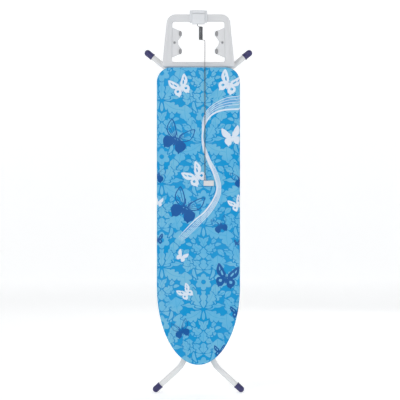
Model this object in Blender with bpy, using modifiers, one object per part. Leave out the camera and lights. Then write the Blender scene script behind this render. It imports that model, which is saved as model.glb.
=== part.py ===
"""Compact folding ironing board, shown folded and upright, with its iron rest at the top.

X is to the right, Y points from the ironing face towards the legs, and Z is up. The origin is
on the level of the front feet's lowest point, in the middle of the width and of the depth.
"Depth" below means the distance behind the front surface of the steel board mesh.
"""

import math

import bmesh
import bpy
from mathutils import Matrix, Vector

# Board and cover
MESH_FRONT_Y = -0.0302     # puts the middle of the whole depth at y = 0
NOSE_Z = 0.1085            # tip of the nose
REAR_Z = 1.2085            # rear edge, next to the iron rest
HALF_WIDTH = 0.154
NOSE_LENGTH = 0.288        # the nose is half an ellipse this long
REAR_CORNER = 0.055        # radius of the two rear corners
COVER_THICKNESS = 0.0012
COVER_FRONT = -0.0098      # depth of the cover's front surface
COVER_BACK = 0.0165        # depth of the turned-in hem's outer surface
COVER_ROUNDING = 0.006     # radius along the cover's front edge
HEM_WIDTH = 0.016
PAD_FRONT = -0.0083
PAD_ROUNDING = 0.0045
RIM_INSET = 0.0017         # from the cover's outline to the rim's and the pad's
RIM_THICKNESS = 0.0012
RIM_DEPTH = 0.0150
MESH_THICKNESS = 0.0010
ELASTIC_RADIUS = 0.0016
STEAM_HOLE_RADIUS = 0.0075
STEAM_HOLE_PITCH = 0.060
GAP = 0.0003               # between touching pieces
DRILL_TWIST = math.radians(11)

# Legs
FOLD_ANGLE = math.radians(3)     # each leg's slope to the board when folded
AXLE_DEPTH = 0.016               # of the fixed axle and of the carriage rod
LEG_REACH = 1.008                # from a leg's upper pivot to the ball of its feet
FOOT_RADIUS = 0.01225
FOOT_LENGTH = 0.0368
REAR_BALL_Z = 1.2655             # ball of the rear feet when folded
TUBE_RADIUS = 0.0105
TUBE_WALL = 0.0012
TUBE_OVERHANG = 0.0098           # tube past the upper pivot; its corners turn clear of the mesh
TUBE_END = 0.004                 # from a tube's lower end to the ball of its foot
BEND_RADIUS = 0.100
BEND_STEPS = 6
INNER_X = 0.0473                 # half spacing of the inner leg's tubes
OUTER_X = 0.0780
INNER_FOOT_X = 0.1586
OUTER_FOOT_X = 0.1890
INNER_FLARE = math.radians(47.5)
OUTER_FLARE = math.radians(51)
RUNG_RADIUS = 0.008
INNER_RUNGS = (0.115, 0.820)     # distances from the fixed axle
OUTER_RUNGS = (0.660, 0.860)     # distances from the carriage rod
BOLT_RADIUS = 0.003
OPEN_ANGLE = math.radians(52)    # leg slope at the greatest working height
NOTCH_ANGLES = (34, 38, 42, 45, 48, 50, 52)   # leg slopes, in degrees, with a notch each

# Rails, rod and height lever
ROD_RADIUS = 0.004
ROD_HALF = 0.1045
RAIL_X = 0.0967                  # inner face of a rail's upright wall
RAIL_THICKNESS = 0.0015
RAIL_FLANGE = 0.0145
RAIL_TOP_Z = 1.100
RAIL_BOTTOM_Z = 0.236
RAIL_BACK = 0.029                # depth of a rail's free edge
SLOT_HALF = 0.006                # half width of a rail's slot
SLIDER_RADIUS = 0.0056           # part of the slider inside the slot
SLIDER_FLANGE = 0.0085
HOLE_CLEARANCE = 0.0003
RACK_THICKNESS = 0.003
RACK_CREST = 0.0110              # depth of the rack's teeth tips
RACK_NOTCH = 0.0068
RACK_RUN_IN = 0.020
PAWL_REACH = 0.0180              # from the rod's axis to the pawl pin
PAWL_RADIUS = 0.0020
LEVER_X = 0.0045                 # inner face of the lever plate
LEVER_THICKNESS = 0.003
LEVER_HUB = 0.0095               # half width of the plate round the rod
LEVER_FOOT_Z = -0.070            # the plate's lower end, inside the grip
GRIP_SIZE = (0.0440, 0.0090, 0.0300)
GRIP_MIDDLE = (0.0145, -0.0720)  # behind and below the rod

# Iron rest
REST_TOP_Z = 1.4046
REST_BOTTOM_Z = 1.2100
REST_BAR_Z = 1.2286              # upper edge of the bar next to the board
BAR_BOTTOM_Z = 1.3771            # lower edge of the bar that carries the cord holder
REST_FRONT = 0.0037
REST_BACK = 0.0177
LOBE_FRONT = 0.0067
LOBE_BACK = 0.0127
REST_ROUNDING = 0.0025
LOBE_ROUNDING = 0.0010
REST_OUTSIDE = ((0.1150, REST_TOP_Z, 0.034), (0.1345, REST_BOTTOM_Z, 0.008))   # x, z, radius
LOBE_ROOT_X = 0.106
LOBE_TIP_X = 0.060
LOBE_ROOT_Z = (1.3602, 1.2413)   # the plate's upper and lower end at the rim
LOBE_HOLLOW = (0.0812, 1.3001)   # deepest point between the two lobes
LOBE_TIP_HALF = 0.007            # half height of a lobe's blunt tip
REST_PAD_X = 0.0672
REST_PAD_Z = (1.3335, 1.2672)
REST_PAD_HALF = (0.0050, 0.0100)
REST_SCREW = (0.0883, 1.3000)
ARM_X = 0.113
ARM_HALF_WIDTH = 0.010
ARM_THICKNESS = 0.002
ARM_SCREW_Z = 1.265
ARM_BOLT_Z = 1.138
ARM_HEIGHTS = (1.3000, 1.1740, 1.1580, 1.1180)   # top, both bends over the hem, lower end
SCREW_RADIUS = 0.0020

# Cord holder
CLAMP_TOP_Z = 1.4189
CLAMP_BOTTOM_Z = 1.3669
CLAMP_JAW_Z = 1.3746
CLAMP_HALF = 0.0325              # half width of the jaw
JAW_FRONT_WALL = 0.0045
JAW_BACK_WALL = 0.0050
THUMB_Z = 1.3910
THUMB_STANDOFF = 0.0090          # from the jaw's inner back face to the knob's middle plane
THUMB_TIP = 0.0086
KNOB_RADIUS = 0.0110
THUMB_SHANK_RADIUS = 0.0030
BLOCK_HALF = 0.0235              # half width of the front block
BLOCK_FRONT = -0.0090
MAST_X = 0.0089                  # axis of the coil
MAST_DEPTH = -0.0057
MAST_PIVOT_Z = 1.3720
HOOK_X = -0.0037
PIN_RADIUS = 0.0012
PIN_HALF = 0.0085
HOOK_GROOVE = (0.0070, 0.0200, 0.0240)
WIRE_RADIUS = 0.0012
WIRE_X = 0.0240
WIRE_DEPTH = -0.0122
COIL_RADIUS = 0.0062             # to the middle of the wire
COIL_TOP_Z = 1.3575
COIL_BOTTOM_Z = 1.3105
COIL_TURNS = 9
WIRE_END_Z = 0.786
CLIP_SIZE = (0.0380, 0.0100, 0.0200)
CLIP_SLIT = (0.0190, 0.0050, 0.0300)


# --- small tools -------------------------------------------------------------------------------

def clear_scene():
    """Removes what the file holds, so that the model can be rebuilt in it."""
    for obj in list(bpy.data.objects):
        bpy.data.objects.remove(obj, do_unlink=True)
    for collection in list(bpy.data.collections):
        bpy.data.collections.remove(collection)


def new_collection(name):
    collection = bpy.data.collections.new(name)
    bpy.context.scene.collection.children.link(collection)
    return collection


def new_material(name, colour, roughness, metallic=0.0):
    material = bpy.data.materials.new(name)
    material.use_nodes = True
    shader = material.node_tree.nodes["Principled BSDF"]
    shader.inputs["Base Color"].default_value = (*colour, 1.0)
    shader.inputs["Roughness"].default_value = roughness
    shader.inputs["Metallic"].default_value = metallic
    return material


def at_depth(depth):
    return MESH_FRONT_Y + depth


def smooth(mesh):
    mesh.shade_smooth()
    mesh.set_sharp_from_angle(angle=math.radians(35))


def mesh_of(obj):
    """The evaluated shape of an object as a new mesh, with loose caps welded."""
    depsgraph = bpy.context.evaluated_depsgraph_get()
    mesh = bpy.data.meshes.new_from_object(obj.evaluated_get(depsgraph))
    work = bmesh.new()
    work.from_mesh(mesh)
    bmesh.ops.remove_doubles(work, verts=work.verts, dist=0.00001)
    bmesh.ops.recalc_face_normals(work, faces=work.faces)
    work.to_mesh(mesh)
    work.free()
    return mesh


def add_part(name, mesh, material, parent=None):
    """Puts a mesh into the object as a named piece."""
    mesh.name = name
    mesh.materials.clear()
    mesh.materials.append(material)
    smooth(mesh)
    part = bpy.data.objects.new(name, mesh)
    PARTS.objects.link(part)
    part.parent = parent
    return part


def from_curve(curve, solid=True):
    """A mesh of a curve; an open tube keeps its ends open."""
    guide = bpy.data.objects.new("guide", curve)
    bpy.context.scene.collection.objects.link(guide)
    mesh = mesh_of(guide) if solid else bpy.data.meshes.new_from_object(
        guide.evaluated_get(bpy.context.evaluated_depsgraph_get()))
    bpy.data.objects.remove(guide, do_unlink=True)
    bpy.data.curves.remove(curve)
    return mesh


def swept(points, radius, sides=8, closed=False, caps=True):
    """A round wire, rod or tube skin along a list of points."""
    curve = bpy.data.curves.new("path", "CURVE")
    curve.dimensions = "3D"
    curve.bevel_depth = radius
    curve.bevel_resolution = (sides - 4) // 2
    curve.use_fill_caps = caps
    spline = curve.splines.new("POLY")
    spline.points.add(len(points) - 1)
    for spline_point, point in zip(spline.points, points):
        spline_point.co = (*point, 1.0)
    spline.use_cyclic_u = closed
    return from_curve(curve, solid=caps or closed)


FACE_ON = Matrix.Rotation(math.radians(90), 4, "X")    # plan (x, z) drawn flat, thickness along Y
SIDE_ON = Matrix(((0, 0, 1, 0), (1, 0, 0, 0), (0, 1, 0, 0), (0, 0, 0, 1)))   # plan (y, z), along X


def plate(loops, thickness, centre, turn=FACE_ON, rounding=0.0):
    """A flat piece: closed loops of plan points, the first outside and the others holes."""
    curve = bpy.data.curves.new("plan", "CURVE")
    curve.dimensions = "2D"
    curve.fill_mode = "BOTH"
    curve.extrude = thickness / 2 - rounding
    curve.bevel_depth = rounding
    curve.bevel_resolution = 1 if rounding else 0
    curve.offset = -rounding
    for loop in loops:
        spline = curve.splines.new("POLY")
        spline.points.add(len(loop) - 1)
        for spline_point, (across, up) in zip(spline.points, loop):
            spline_point.co = (across, up, 0.0, 1.0)
        spline.use_cyclic_u = True
    mesh = from_curve(curve)
    mesh.transform(Matrix.Translation(centre) @ turn)
    return mesh


def box(size, centre, rounding=0.0):
    """A box with its upright and level edges rounded alike."""
    work = bmesh.new()
    bmesh.ops.create_cube(work, size=1.0, matrix=Matrix.Diagonal((*size, 1.0)))
    if rounding:
        bmesh.ops.bevel(work, geom=work.edges, offset=rounding, segments=2, affect="EDGES",
                        profile=0.5)
    bmesh.ops.translate(work, verts=work.verts, vec=centre)
    mesh = bpy.data.meshes.new("box")
    work.to_mesh(mesh)
    work.free()
    return mesh


def turned(profile, steps=12, axis="Z", closed=False):
    """A turned piece from its half profile, which runs down its outer side."""
    mesh = bpy.data.meshes.new("profile")
    count = len(profile)
    edges = [(i, (i + 1) % count) for i in range(count if closed else count - 1)]
    mesh.from_pydata([(radius, 0.0, height) for radius, height in profile], edges, [])
    guide = bpy.data.objects.new("guide", mesh)
    bpy.context.scene.collection.objects.link(guide)
    screw = guide.modifiers.new("Turn", "SCREW")
    screw.steps = steps
    screw.render_steps = steps
    screw.use_merge_vertices = True
    screw.merge_threshold = 0.00001
    solid = mesh_of(guide)
    bpy.data.objects.remove(guide, do_unlink=True)
    bpy.data.meshes.remove(mesh)
    turns = {"Z": Matrix(), "X": Matrix.Rotation(math.radians(90), 4, "Y"),
             "Y": Matrix.Rotation(math.radians(-90), 4, "X"),
             "-Y": Matrix.Rotation(math.radians(90), 4, "X")}
    solid.transform(turns[axis])
    return solid


def rod_profile(radius, half, chamfer=0.0005):
    return [(0, half), (radius - chamfer, half), (radius, half - chamfer),
            (radius, chamfer - half), (radius - chamfer, -half), (0, -half)]


def ring_profile(outer, inner, low, high):
    return [(outer, high), (outer, low), (inner, low), (inner, high)]


def screw_profile(head_radius, head_height, shank_radius, shank_length):
    """A screw with a domed head above z = 0 and its shank below."""
    dome = [(head_radius * math.sin(math.radians(a)), head_height * math.cos(math.radians(a)))
            for a in (0, 30, 60, 85)]
    return dome + [(head_radius, 0), (shank_radius, 0), (shank_radius, -shank_length),
                   (0, -shank_length)]


def place(part, location, rotation=None):
    part.location = location
    if rotation is not None:
        part.rotation_euler = rotation
    return part


def new_cutter(name, mesh, parent=None):
    cutter = bpy.data.objects.new(name, mesh)
    CUTTERS.objects.link(cutter)
    cutter.parent = parent
    cutter.hide_render = True
    cutter.display_type = "WIRE"
    return cutter


def cut(part, *cutters, operation="DIFFERENCE"):
    for cutter in cutters:
        boolean = part.modifiers.new(f"Cut {cutter.name}", "BOOLEAN")
        boolean.solver = "EXACT"
        boolean.operation = operation
        boolean.object = cutter


def drill(name, radius, half, location, axis="X", parent=None):
    """A round cutter along one axis, twisted so that its edges meet no edge of what it cuts."""
    mesh = turned([(0, half), (radius, half), (radius, -half), (0, -half)], axis=axis)
    mesh.transform(Matrix.Rotation(DRILL_TWIST, 4, axis))
    return place(new_cutter(name, mesh, parent), location)


def pivot(name, location, tilt=0.0, parent=None):
    """An empty on a joint's axis, which carries the pieces that turn about it."""
    empty = bpy.data.objects.new(name, None)
    empty.empty_display_size = 0.03
    PARTS.objects.link(empty)
    empty.location = location
    empty.rotation_euler = (tilt, 0, 0)
    empty.parent = parent
    return empty


SIDES = {"left": -1, "right": 1}


# --- outlines ----------------------------------------------------------------------------------

def outline(inset):
    """The board's plan as (x, z) points: rear corners are arcs, the nose is half an ellipse."""
    half_width = HALF_WIDTH - inset
    corner = REAR_CORNER - inset
    nose = NOSE_LENGTH - inset
    arc = [math.radians(90 * step / 5) for step in range(6)]
    sweep = [math.radians(90 * step / 12) for step in range(13)]
    right = [(half_width - corner + corner * math.sin(a), REAR_Z - inset - corner + corner * math.cos(a))
             for a in arc]
    right += [(half_width * math.cos(a), NOSE_Z + NOSE_LENGTH - nose * math.sin(a)) for a in sweep]
    left = [(-x, z) for x, z in reversed(right[:-1])]
    return right + left


def rounded(corners, segments=3):
    """A closed outline from corner points (x, z, radius), each corner turned into an arc."""
    points = []
    for index, (x, z, radius) in enumerate(corners):
        here = Vector((x, z))
        before = (Vector(corners[index - 1][:2]) - here).normalized()
        after = (Vector(corners[(index + 1) % len(corners)][:2]) - here).normalized()
        opening = before.angle(after)
        if radius == 0 or opening > math.radians(179):
            points.append((x, z))
            continue
        centre = here + (before + after).normalized() * radius / math.sin(opening / 2)
        start = here + before * radius / math.tan(opening / 2) - centre
        end = here + after * radius / math.tan(opening / 2) - centre
        turn = start.angle_signed(end)
        for step in range(segments + 1):
            spoke = start.copy()
            spoke.rotate(Matrix.Rotation(-turn * step / segments, 2))
            points.append(tuple(centre + spoke))
    return points


def mirrored(half):
    """A closed outline from the corners of its right half."""
    return half + [(-x, z, radius) for x, z, radius in reversed(half)]


# --- board, pad and cover ----------------------------------------------------------------------

def steam_holes():
    """Centres of the holes in the board mesh, in staggered rows clear of rails, rack and edge."""
    edge = outline(0.030)
    right_edge = [(x, z) for x, z in edge if x >= 0]
    centres = []
    rows = int((REAR_Z - NOSE_Z) / (STEAM_HOLE_PITCH * 0.5))
    for row in range(1, rows):
        z = NOSE_Z + row * STEAM_HOLE_PITCH * 0.5
        near = min(right_edge, key=lambda point: abs(point[1] - z))
        limit = near[0] if abs(near[1] - z) < 0.04 else HALF_WIDTH - 0.030
        for column in range(-3, 4):
            x = (column + 0.5 * (row % 2)) * STEAM_HOLE_PITCH
            beside_rack = abs(x) > STEAM_HOLE_RADIUS + 0.006
            beside_rail = not RAIL_X - 0.010 < abs(x) < RAIL_X + RAIL_FLANGE + 0.010
            if abs(x) < limit and beside_rack and beside_rail:
                centres.append((x, z))
    return centres


def circle(centre, radius, sides=6):
    return [(centre[0] + radius * math.cos(math.tau * i / sides),
             centre[1] + radius * math.sin(math.tau * i / sides)) for i in range(sides)]


def make_board_mesh():
    holes = [circle(centre, STEAM_HOLE_RADIUS) for centre in steam_holes()]
    bolt_holes = [circle((side * ARM_X, ARM_BOLT_Z), BOLT_RADIUS, 8) for side in SIDES.values()]
    middle = (0, at_depth(MESH_THICKNESS / 2), 0)
    add_part("board_mesh",
             plate([outline(RIM_INSET + RIM_THICKNESS + GAP)] + holes + bolt_holes, MESH_THICKNESS, middle),
             PAINTED_STEEL)


def make_board_rim():
    middle = (0, at_depth(RIM_DEPTH / 2), 0)
    loops = [outline(RIM_INSET), outline(RIM_INSET + RIM_THICKNESS)]
    add_part("board_rim", plate(loops, RIM_DEPTH, middle), PAINTED_STEEL)


def loft(rings, close_end):
    """A skin through rings of (x, depth, z) points, capped at the first and maybe at the last."""
    work = bmesh.new()
    rows = [[work.verts.new((x, at_depth(depth), z)) for x, depth, z in ring] for ring in rings]
    for row, following in zip(rows, rows[1:]):
        for i in range(len(row)):
            j = (i + 1) % len(row)
            work.faces.new((row[i], row[j], following[j], following[i]))
    work.faces.new(rows[0])
    if close_end:
        work.faces.new(rows[-1])
    bmesh.ops.recalc_face_normals(work, faces=work.faces)
    front = min(work.faces, key=lambda face: face.calc_center_median().y)
    if front.normal.y > 0:
        bmesh.ops.reverse_faces(work, faces=work.faces)
    mesh = bpy.data.meshes.new("loft")
    work.to_mesh(mesh)
    work.free()
    return mesh


def board_ring(inset, depth):
    return [(x, depth, z) for x, z in outline(inset)]


def rounded_edge(front, rounding, inset, steps=3):
    """Rings round a front edge, from the flat face to the side."""
    angles = [math.radians(90 * step / steps) for step in range(steps + 1)]
    return [board_ring(inset + rounding * (1 - math.sin(a)), front + rounding * (1 - math.cos(a)))
            for a in angles]


def make_foam_pad():
    rings = rounded_edge(PAD_FRONT, PAD_ROUNDING, RIM_INSET) + [board_ring(RIM_INSET, -GAP)]
    add_part("foam_pad", loft(rings, close_end=True), FOAM)


def make_cover():
    turn = 0.0006
    rings = rounded_edge(COVER_FRONT, COVER_ROUNDING, 0.0)
    rings += [board_ring(0.0, COVER_BACK - turn), board_ring(turn, COVER_BACK),
              board_ring(HEM_WIDTH, COVER_BACK)]
    cover = add_part("cover", loft(rings, close_end=False), COVER_CLOTH)
    solidify = cover.modifiers.new("Cloth", "SOLIDIFY")
    solidify.thickness = COVER_THICKNESS
    solidify.offset = -1
    solidify.use_even_offset = True


def make_hem_elastic():
    inset = HEM_WIDTH + 2 * GAP + ELASTIC_RADIUS
    path = [(x, at_depth(COVER_BACK - COVER_THICKNESS / 2), z) for x, z in outline(inset)]
    add_part("hem_elastic", swept(path, ELASTIC_RADIUS, sides=6, closed=True), ELASTIC)


# --- iron rest ---------------------------------------------------------------------------------

def lobe_plan(side):
    """One side's plate: two lobes that carry the pads, with a hollow between them."""
    upper, lower = REST_PAD_Z
    root_top, root_bottom = LOBE_ROOT_Z
    tips = [(LOBE_TIP_X, upper + LOBE_TIP_HALF, 0.010), (LOBE_TIP_X, upper - LOBE_TIP_HALF, 0.008),
            (*LOBE_HOLLOW, 0.020),
            (LOBE_TIP_X, lower + LOBE_TIP_HALF, 0.008), (LOBE_TIP_X, lower - LOBE_TIP_HALF, 0.010)]
    corners = [(LOBE_ROOT_X, root_top, 0)] + tips + [(LOBE_ROOT_X, root_bottom, 0)]
    return rounded([(side * x, z, radius) for x, z, radius in corners])


def make_iron_rest():
    outside = list(REST_OUTSIDE)
    opening = [(0.0958, BAR_BOTTOM_Z, 0.008), (0.0975, REST_BAR_Z, 0.006)]
    rim = plate([rounded(mirrored(outside), 5), rounded(mirrored(opening))],
                REST_BACK - REST_FRONT, (0, at_depth((REST_FRONT + REST_BACK) / 2), 0),
                rounding=REST_ROUNDING)
    frame = add_part("iron_rest_frame", rim, WHITE_PLASTIC)
    for word, side in SIDES.items():
        lobes = plate([lobe_plan(side)], LOBE_BACK - LOBE_FRONT,
                      (0, at_depth((LOBE_FRONT + LOBE_BACK) / 2), 0), rounding=LOBE_ROUNDING)
        cut(frame, new_cutter(f"rest_lobes_{word}", lobes), operation="UNION")
        front_hole = drill(f"rest_screw_hole_{word}", SCREW_RADIUS, 0.0045,
                           (side * REST_SCREW[0], at_depth(LOBE_FRONT), REST_SCREW[1]), "Y")
        back_hole = drill(f"arm_screw_hole_{word}", SCREW_RADIUS + GAP, 0.0085,
                          (side * ARM_X, at_depth(REST_BACK), ARM_SCREW_Z), "Y")
        cut(frame, front_hole, back_hole)


def make_rest_pads():
    """Soft oval pads on the lobes, which keep a hot iron off the plastic."""
    across, up = REST_PAD_HALF
    for word, side in SIDES.items():
        for level, z in zip(("upper", "lower"), REST_PAD_Z):
            oval = [(across * math.cos(math.tau * i / 12), up * math.sin(math.tau * i / 12))
                    for i in range(12)]
            thickness = LOBE_FRONT - REST_FRONT + 0.0004
            pad = add_part(f"rest_pad_{level}_{word}",
                           plate([oval], thickness, (0, 0, 0), rounding=0.0008), GREY_RUBBER)
            place(pad, (side * REST_PAD_X, at_depth(LOBE_FRONT - GAP - thickness / 2), z))


def make_rest_screws():
    for word, side in SIDES.items():
        profile = screw_profile(0.0045, 0.0018, SCREW_RADIUS - GAP, 0.0035)
        screw = add_part(f"rest_screw_{word}", turned(profile, axis="-Y"), ZINC)
        place(screw, (side * REST_SCREW[0], at_depth(LOBE_FRONT - GAP), REST_SCREW[1]))


def make_rest_arms():
    """Steel straps that carry the rest: flat behind it, stepped over the hem, then on the mesh."""
    high = REST_BACK + GAP
    low = MESH_THICKNESS + GAP
    top_z, hem_z, step_z, end_z = ARM_HEIGHTS
    front = [(high, top_z), (high, hem_z), (low, step_z), (low, end_z)]
    back = [(depth + ARM_THICKNESS, z + (0.0008 if z in (hem_z, step_z) else 0.0)) for depth, z in front]
    side_view = [(at_depth(depth), z) for depth, z in front + back[::-1]]
    for word, side in SIDES.items():
        strap = add_part(f"rest_arm_{word}",
                         plate([side_view], 2 * ARM_HALF_WIDTH, (side * ARM_X, 0, 0), SIDE_ON), ZINC)
        cut(strap,
            drill(f"arm_top_hole_{word}", SCREW_RADIUS + GAP, 0.006,
                  (side * ARM_X, at_depth(high), ARM_SCREW_Z), "Y"),
            drill(f"arm_end_hole_{word}", BOLT_RADIUS, 0.006,
                  (side * ARM_X, at_depth(low), ARM_BOLT_Z), "Y"))
        screw = add_part(f"arm_screw_{word}", turned(screw_profile(0.0040, 0.0020, SCREW_RADIUS, 0.0095),
                                                     axis="Y"), ZINC)
        place(screw, (side * ARM_X, at_depth(high + ARM_THICKNESS + GAP), ARM_SCREW_Z))
        bolt = add_part(f"arm_bolt_{word}", turned(screw_profile(0.0055, 0.0025, BOLT_RADIUS - GAP, 0.0034),
                                                   axis="Y"), ZINC)
        place(bolt, (side * ARM_X, at_depth(low + ARM_THICKNESS + GAP), ARM_BOLT_Z))


# --- cord holder -------------------------------------------------------------------------------

def make_cord_clamp():
    """A jaw over the rest's rear bar, with a block in front that carries the mast."""
    front = REST_FRONT - GAP
    back = REST_BACK + GAP
    jaw_front, jaw_back = front - JAW_FRONT_WALL, back + JAW_BACK_WALL
    roof_z = REST_TOP_Z + GAP
    side_view = [(jaw_front, CLAMP_TOP_Z), (jaw_front, CLAMP_JAW_Z), (front, CLAMP_JAW_Z), (front, roof_z),
                 (back, roof_z), (back, CLAMP_JAW_Z), (jaw_back, CLAMP_JAW_Z), (jaw_back, CLAMP_TOP_Z)]
    jaw = plate([[(at_depth(depth), z) for depth, z in side_view]], 2 * CLAMP_HALF, (0, 0, 0), SIDE_ON)
    clamp = add_part("cord_clamp", jaw, WHITE_PLASTIC)
    height = CLAMP_TOP_Z - CLAMP_BOTTOM_Z
    block = box((2 * BLOCK_HALF, front - BLOCK_FRONT, height),
                (0, at_depth((front + BLOCK_FRONT) / 2), CLAMP_BOTTOM_Z + height / 2), 0.0015)
    groove = box(HOOK_GROOVE, (HOOK_X, at_depth(BLOCK_FRONT), CLAMP_BOTTOM_Z))
    cut(clamp, new_cutter("clamp_block", block), operation="UNION")
    cut(clamp, new_cutter("hook_groove", groove),
        drill("mast_pin_hole", PIN_RADIUS + GAP, PIN_HALF + 0.0005,
              (HOOK_X, at_depth(MAST_DEPTH), MAST_PIVOT_Z)),
        drill("thumb_screw_hole", THUMB_SHANK_RADIUS + 0.0004, 0.0060,
              (0, at_depth(back + JAW_BACK_WALL / 2), THUMB_Z), "Y"))
    pin = add_part("mast_pin", turned(rod_profile(PIN_RADIUS, PIN_HALF), axis="X"), ZINC)
    place(pin, (HOOK_X, at_depth(MAST_DEPTH), MAST_PIVOT_Z))


def make_thumb_screw():
    """Holds the clamp on the bar; it turns about its own axis behind the rest."""
    low, high, chamfer = 0.0020, 0.0110, 0.0015
    knob = [(0, high), (KNOB_RADIUS - chamfer, high), (KNOB_RADIUS, high - chamfer),
            (KNOB_RADIUS, low + chamfer), (KNOB_RADIUS - chamfer, low)]
    shank = [(THUMB_SHANK_RADIUS, low), (THUMB_SHANK_RADIUS, -THUMB_TIP), (0, -THUMB_TIP)]
    add_part("thumb_screw", turned(knob + shank, axis="Y", steps=16), NAVY_PLASTIC, THUMB_AXIS)


def coil_points(radius, top, bottom, turns, start_angle, per_turn=8):
    """A coil about Z, from its upper end down."""
    count = int(turns * per_turn)
    points = []
    for step in range(count + 1):
        angle = start_angle + math.tau * step / per_turn
        height = top + (bottom - top) * step / count
        points.append(Vector((radius * math.cos(angle), radius * math.sin(angle), height)))
    return points


def make_mast():
    """The coil with its hook, and the straight wire with its clip, hanging from the pin."""
    eye_radius = PIN_RADIUS + 2 * GAP + WIRE_RADIUS
    eye = [Vector((0, eye_radius * math.sin(math.radians(a)), eye_radius * math.cos(math.radians(a))))
           for a in range(-60, 181, 30)]
    stem = [Vector((0, 0, -0.0095)), Vector((0.0020, 0, -0.0135))]
    coil_x = MAST_X - HOOK_X
    top, bottom = COIL_TOP_Z - MAST_PIVOT_Z, COIL_BOTTOM_Z - MAST_PIVOT_Z
    coil = [point + Vector((coil_x, 0, 0))
            for point in coil_points(COIL_RADIUS, top, bottom, COIL_TURNS + 0.2, math.radians(180))]
    wire_start = Vector((WIRE_X - HOOK_X, WIRE_DEPTH - MAST_DEPTH, bottom - 0.0035))
    foot = wire_start + Vector((0, 0, -0.004))
    add_part("cord_spring", swept(eye + stem + coil + [wire_start, foot], WIRE_RADIUS, 6),
             SPRING_STEEL, MAST_AXIS)
    top_z = foot.z - GAP
    end_z = WIRE_END_Z - MAST_PIVOT_Z
    wire = add_part("mast_wire", turned(rod_profile(WIRE_RADIUS, (top_z - end_z) / 2, 0.0002), steps=8),
                    SPRING_STEEL, MAST_AXIS)
    place(wire, (foot.x, foot.y, (top_z + end_z) / 2))
    clip_x = foot.x + CLIP_SIZE[0] / 2 - 0.0050
    clip = add_part("cord_clip", box(CLIP_SIZE, (0, 0, 0), 0.0012), WHITE_PLASTIC, MAST_AXIS)
    clip_y = foot.y - 0.0035
    place(clip, (clip_x, clip_y, end_z))
    bore = drill("wire_bore", WIRE_RADIUS + GAP, 0.020, (foot.x, foot.y, end_z + 0.0175), "Z", MAST_AXIS)
    slit = new_cutter("cord_slit", box(CLIP_SLIT, (0, 0, 0)), MAST_AXIS)
    place(slit, (clip_x + (CLIP_SIZE[0] - CLIP_SLIT[0]) / 2 + 0.0020, clip_y, end_z))
    cut(clip, bore, slit)


# --- legs --------------------------------------------------------------------------------------

def leg_line(straight_x, foot_x, flare):
    """Half a leg as (x, distance from its upper pivot): straight, one bend, straight to the foot."""
    bend_side = BEND_RADIUS * (1 - math.cos(flare))
    bend_end = LEG_REACH - (foot_x - straight_x - bend_side) / math.tan(flare)
    bend_start = bend_end - BEND_RADIUS * math.sin(flare)
    line = [(straight_x, -TUBE_OVERHANG)]
    for step in range(BEND_STEPS + 1):
        angle = flare * step / BEND_STEPS
        line.append((straight_x + BEND_RADIUS * (1 - math.cos(angle)),
                     bend_start + BEND_RADIUS * math.sin(angle)))
    line.append((foot_x - TUBE_END * math.sin(flare), LEG_REACH - TUBE_END * math.cos(flare)))
    return line


def make_leg(leg, foot_word, line, flare, parent, along):
    """Two mirrored tubes with their feet. along(distance) is the local height of a point."""
    bore = TUBE_RADIUS + GAP
    side_length = FOOT_LENGTH - FOOT_RADIUS
    dome = [(FOOT_RADIUS * math.sin(math.radians(a)), FOOT_RADIUS * math.cos(math.radians(a)))
            for a in (0, 18, 36, 54, 72, 90)]
    cap_profile = dome + [(FOOT_RADIUS, -side_length), (bore, -side_length), (bore, GAP - TUBE_END),
                          (0, GAP - TUBE_END)]
    facing = along(1) - along(0)
    for word, side in SIDES.items():
        path = [(side * x, 0, along(distance)) for x, distance in line]
        skin = swept(path, TUBE_RADIUS, sides=12, caps=False)
        tube = add_part(f"{leg}_leg_tube_{word}", skin, WHITE_PAINT, parent)
        wall = tube.modifiers.new("Wall", "SOLIDIFY")
        wall.thickness = TUBE_WALL
        wall.offset = -1
        foot = add_part(f"{foot_word}_foot_cap_{word}", turned(cap_profile, steps=16), NAVY_RUBBER, parent)
        out = Vector((side * math.sin(flare), 0, facing * math.cos(flare)))
        ball_x = line[-1][0] + TUBE_END * math.sin(flare)
        place(foot, (side * ball_x, 0, along(LEG_REACH)), out.to_track_quat("Z", "Y").to_euler())


def make_rungs(leg, half_spacing, distances, parent, along):
    for word, distance in zip(("upper", "lower"), distances):
        half = half_spacing - TUBE_RADIUS - GAP
        rung = add_part(f"{leg}_leg_rung_{word}", turned(rod_profile(RUNG_RADIUS, half), axis="X"),
                        WHITE_PAINT, parent)
        place(rung, (0, 0, along(distance)))


def drill_tubes(leg, half_spacing, radius, height, tag, parent):
    """Opens both tubes of a leg for a rod along X."""
    for word, side in SIDES.items():
        hole = drill(f"{leg}_{tag}_hole_{word}", radius + HOLE_CLEARANCE, TUBE_RADIUS + 0.004,
                     (side * half_spacing, 0, height), "X", parent)
        cut(bpy.data.objects[f"{leg}_leg_tube_{word}"], hole)


def along_inner(distance):
    """Height on the inner leg, whose axis is its upper pivot."""
    return -distance


def along_outer(distance):
    """Height on the outer leg, whose axis is the cross pivot."""
    return distance - CROSS_REACH


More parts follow.
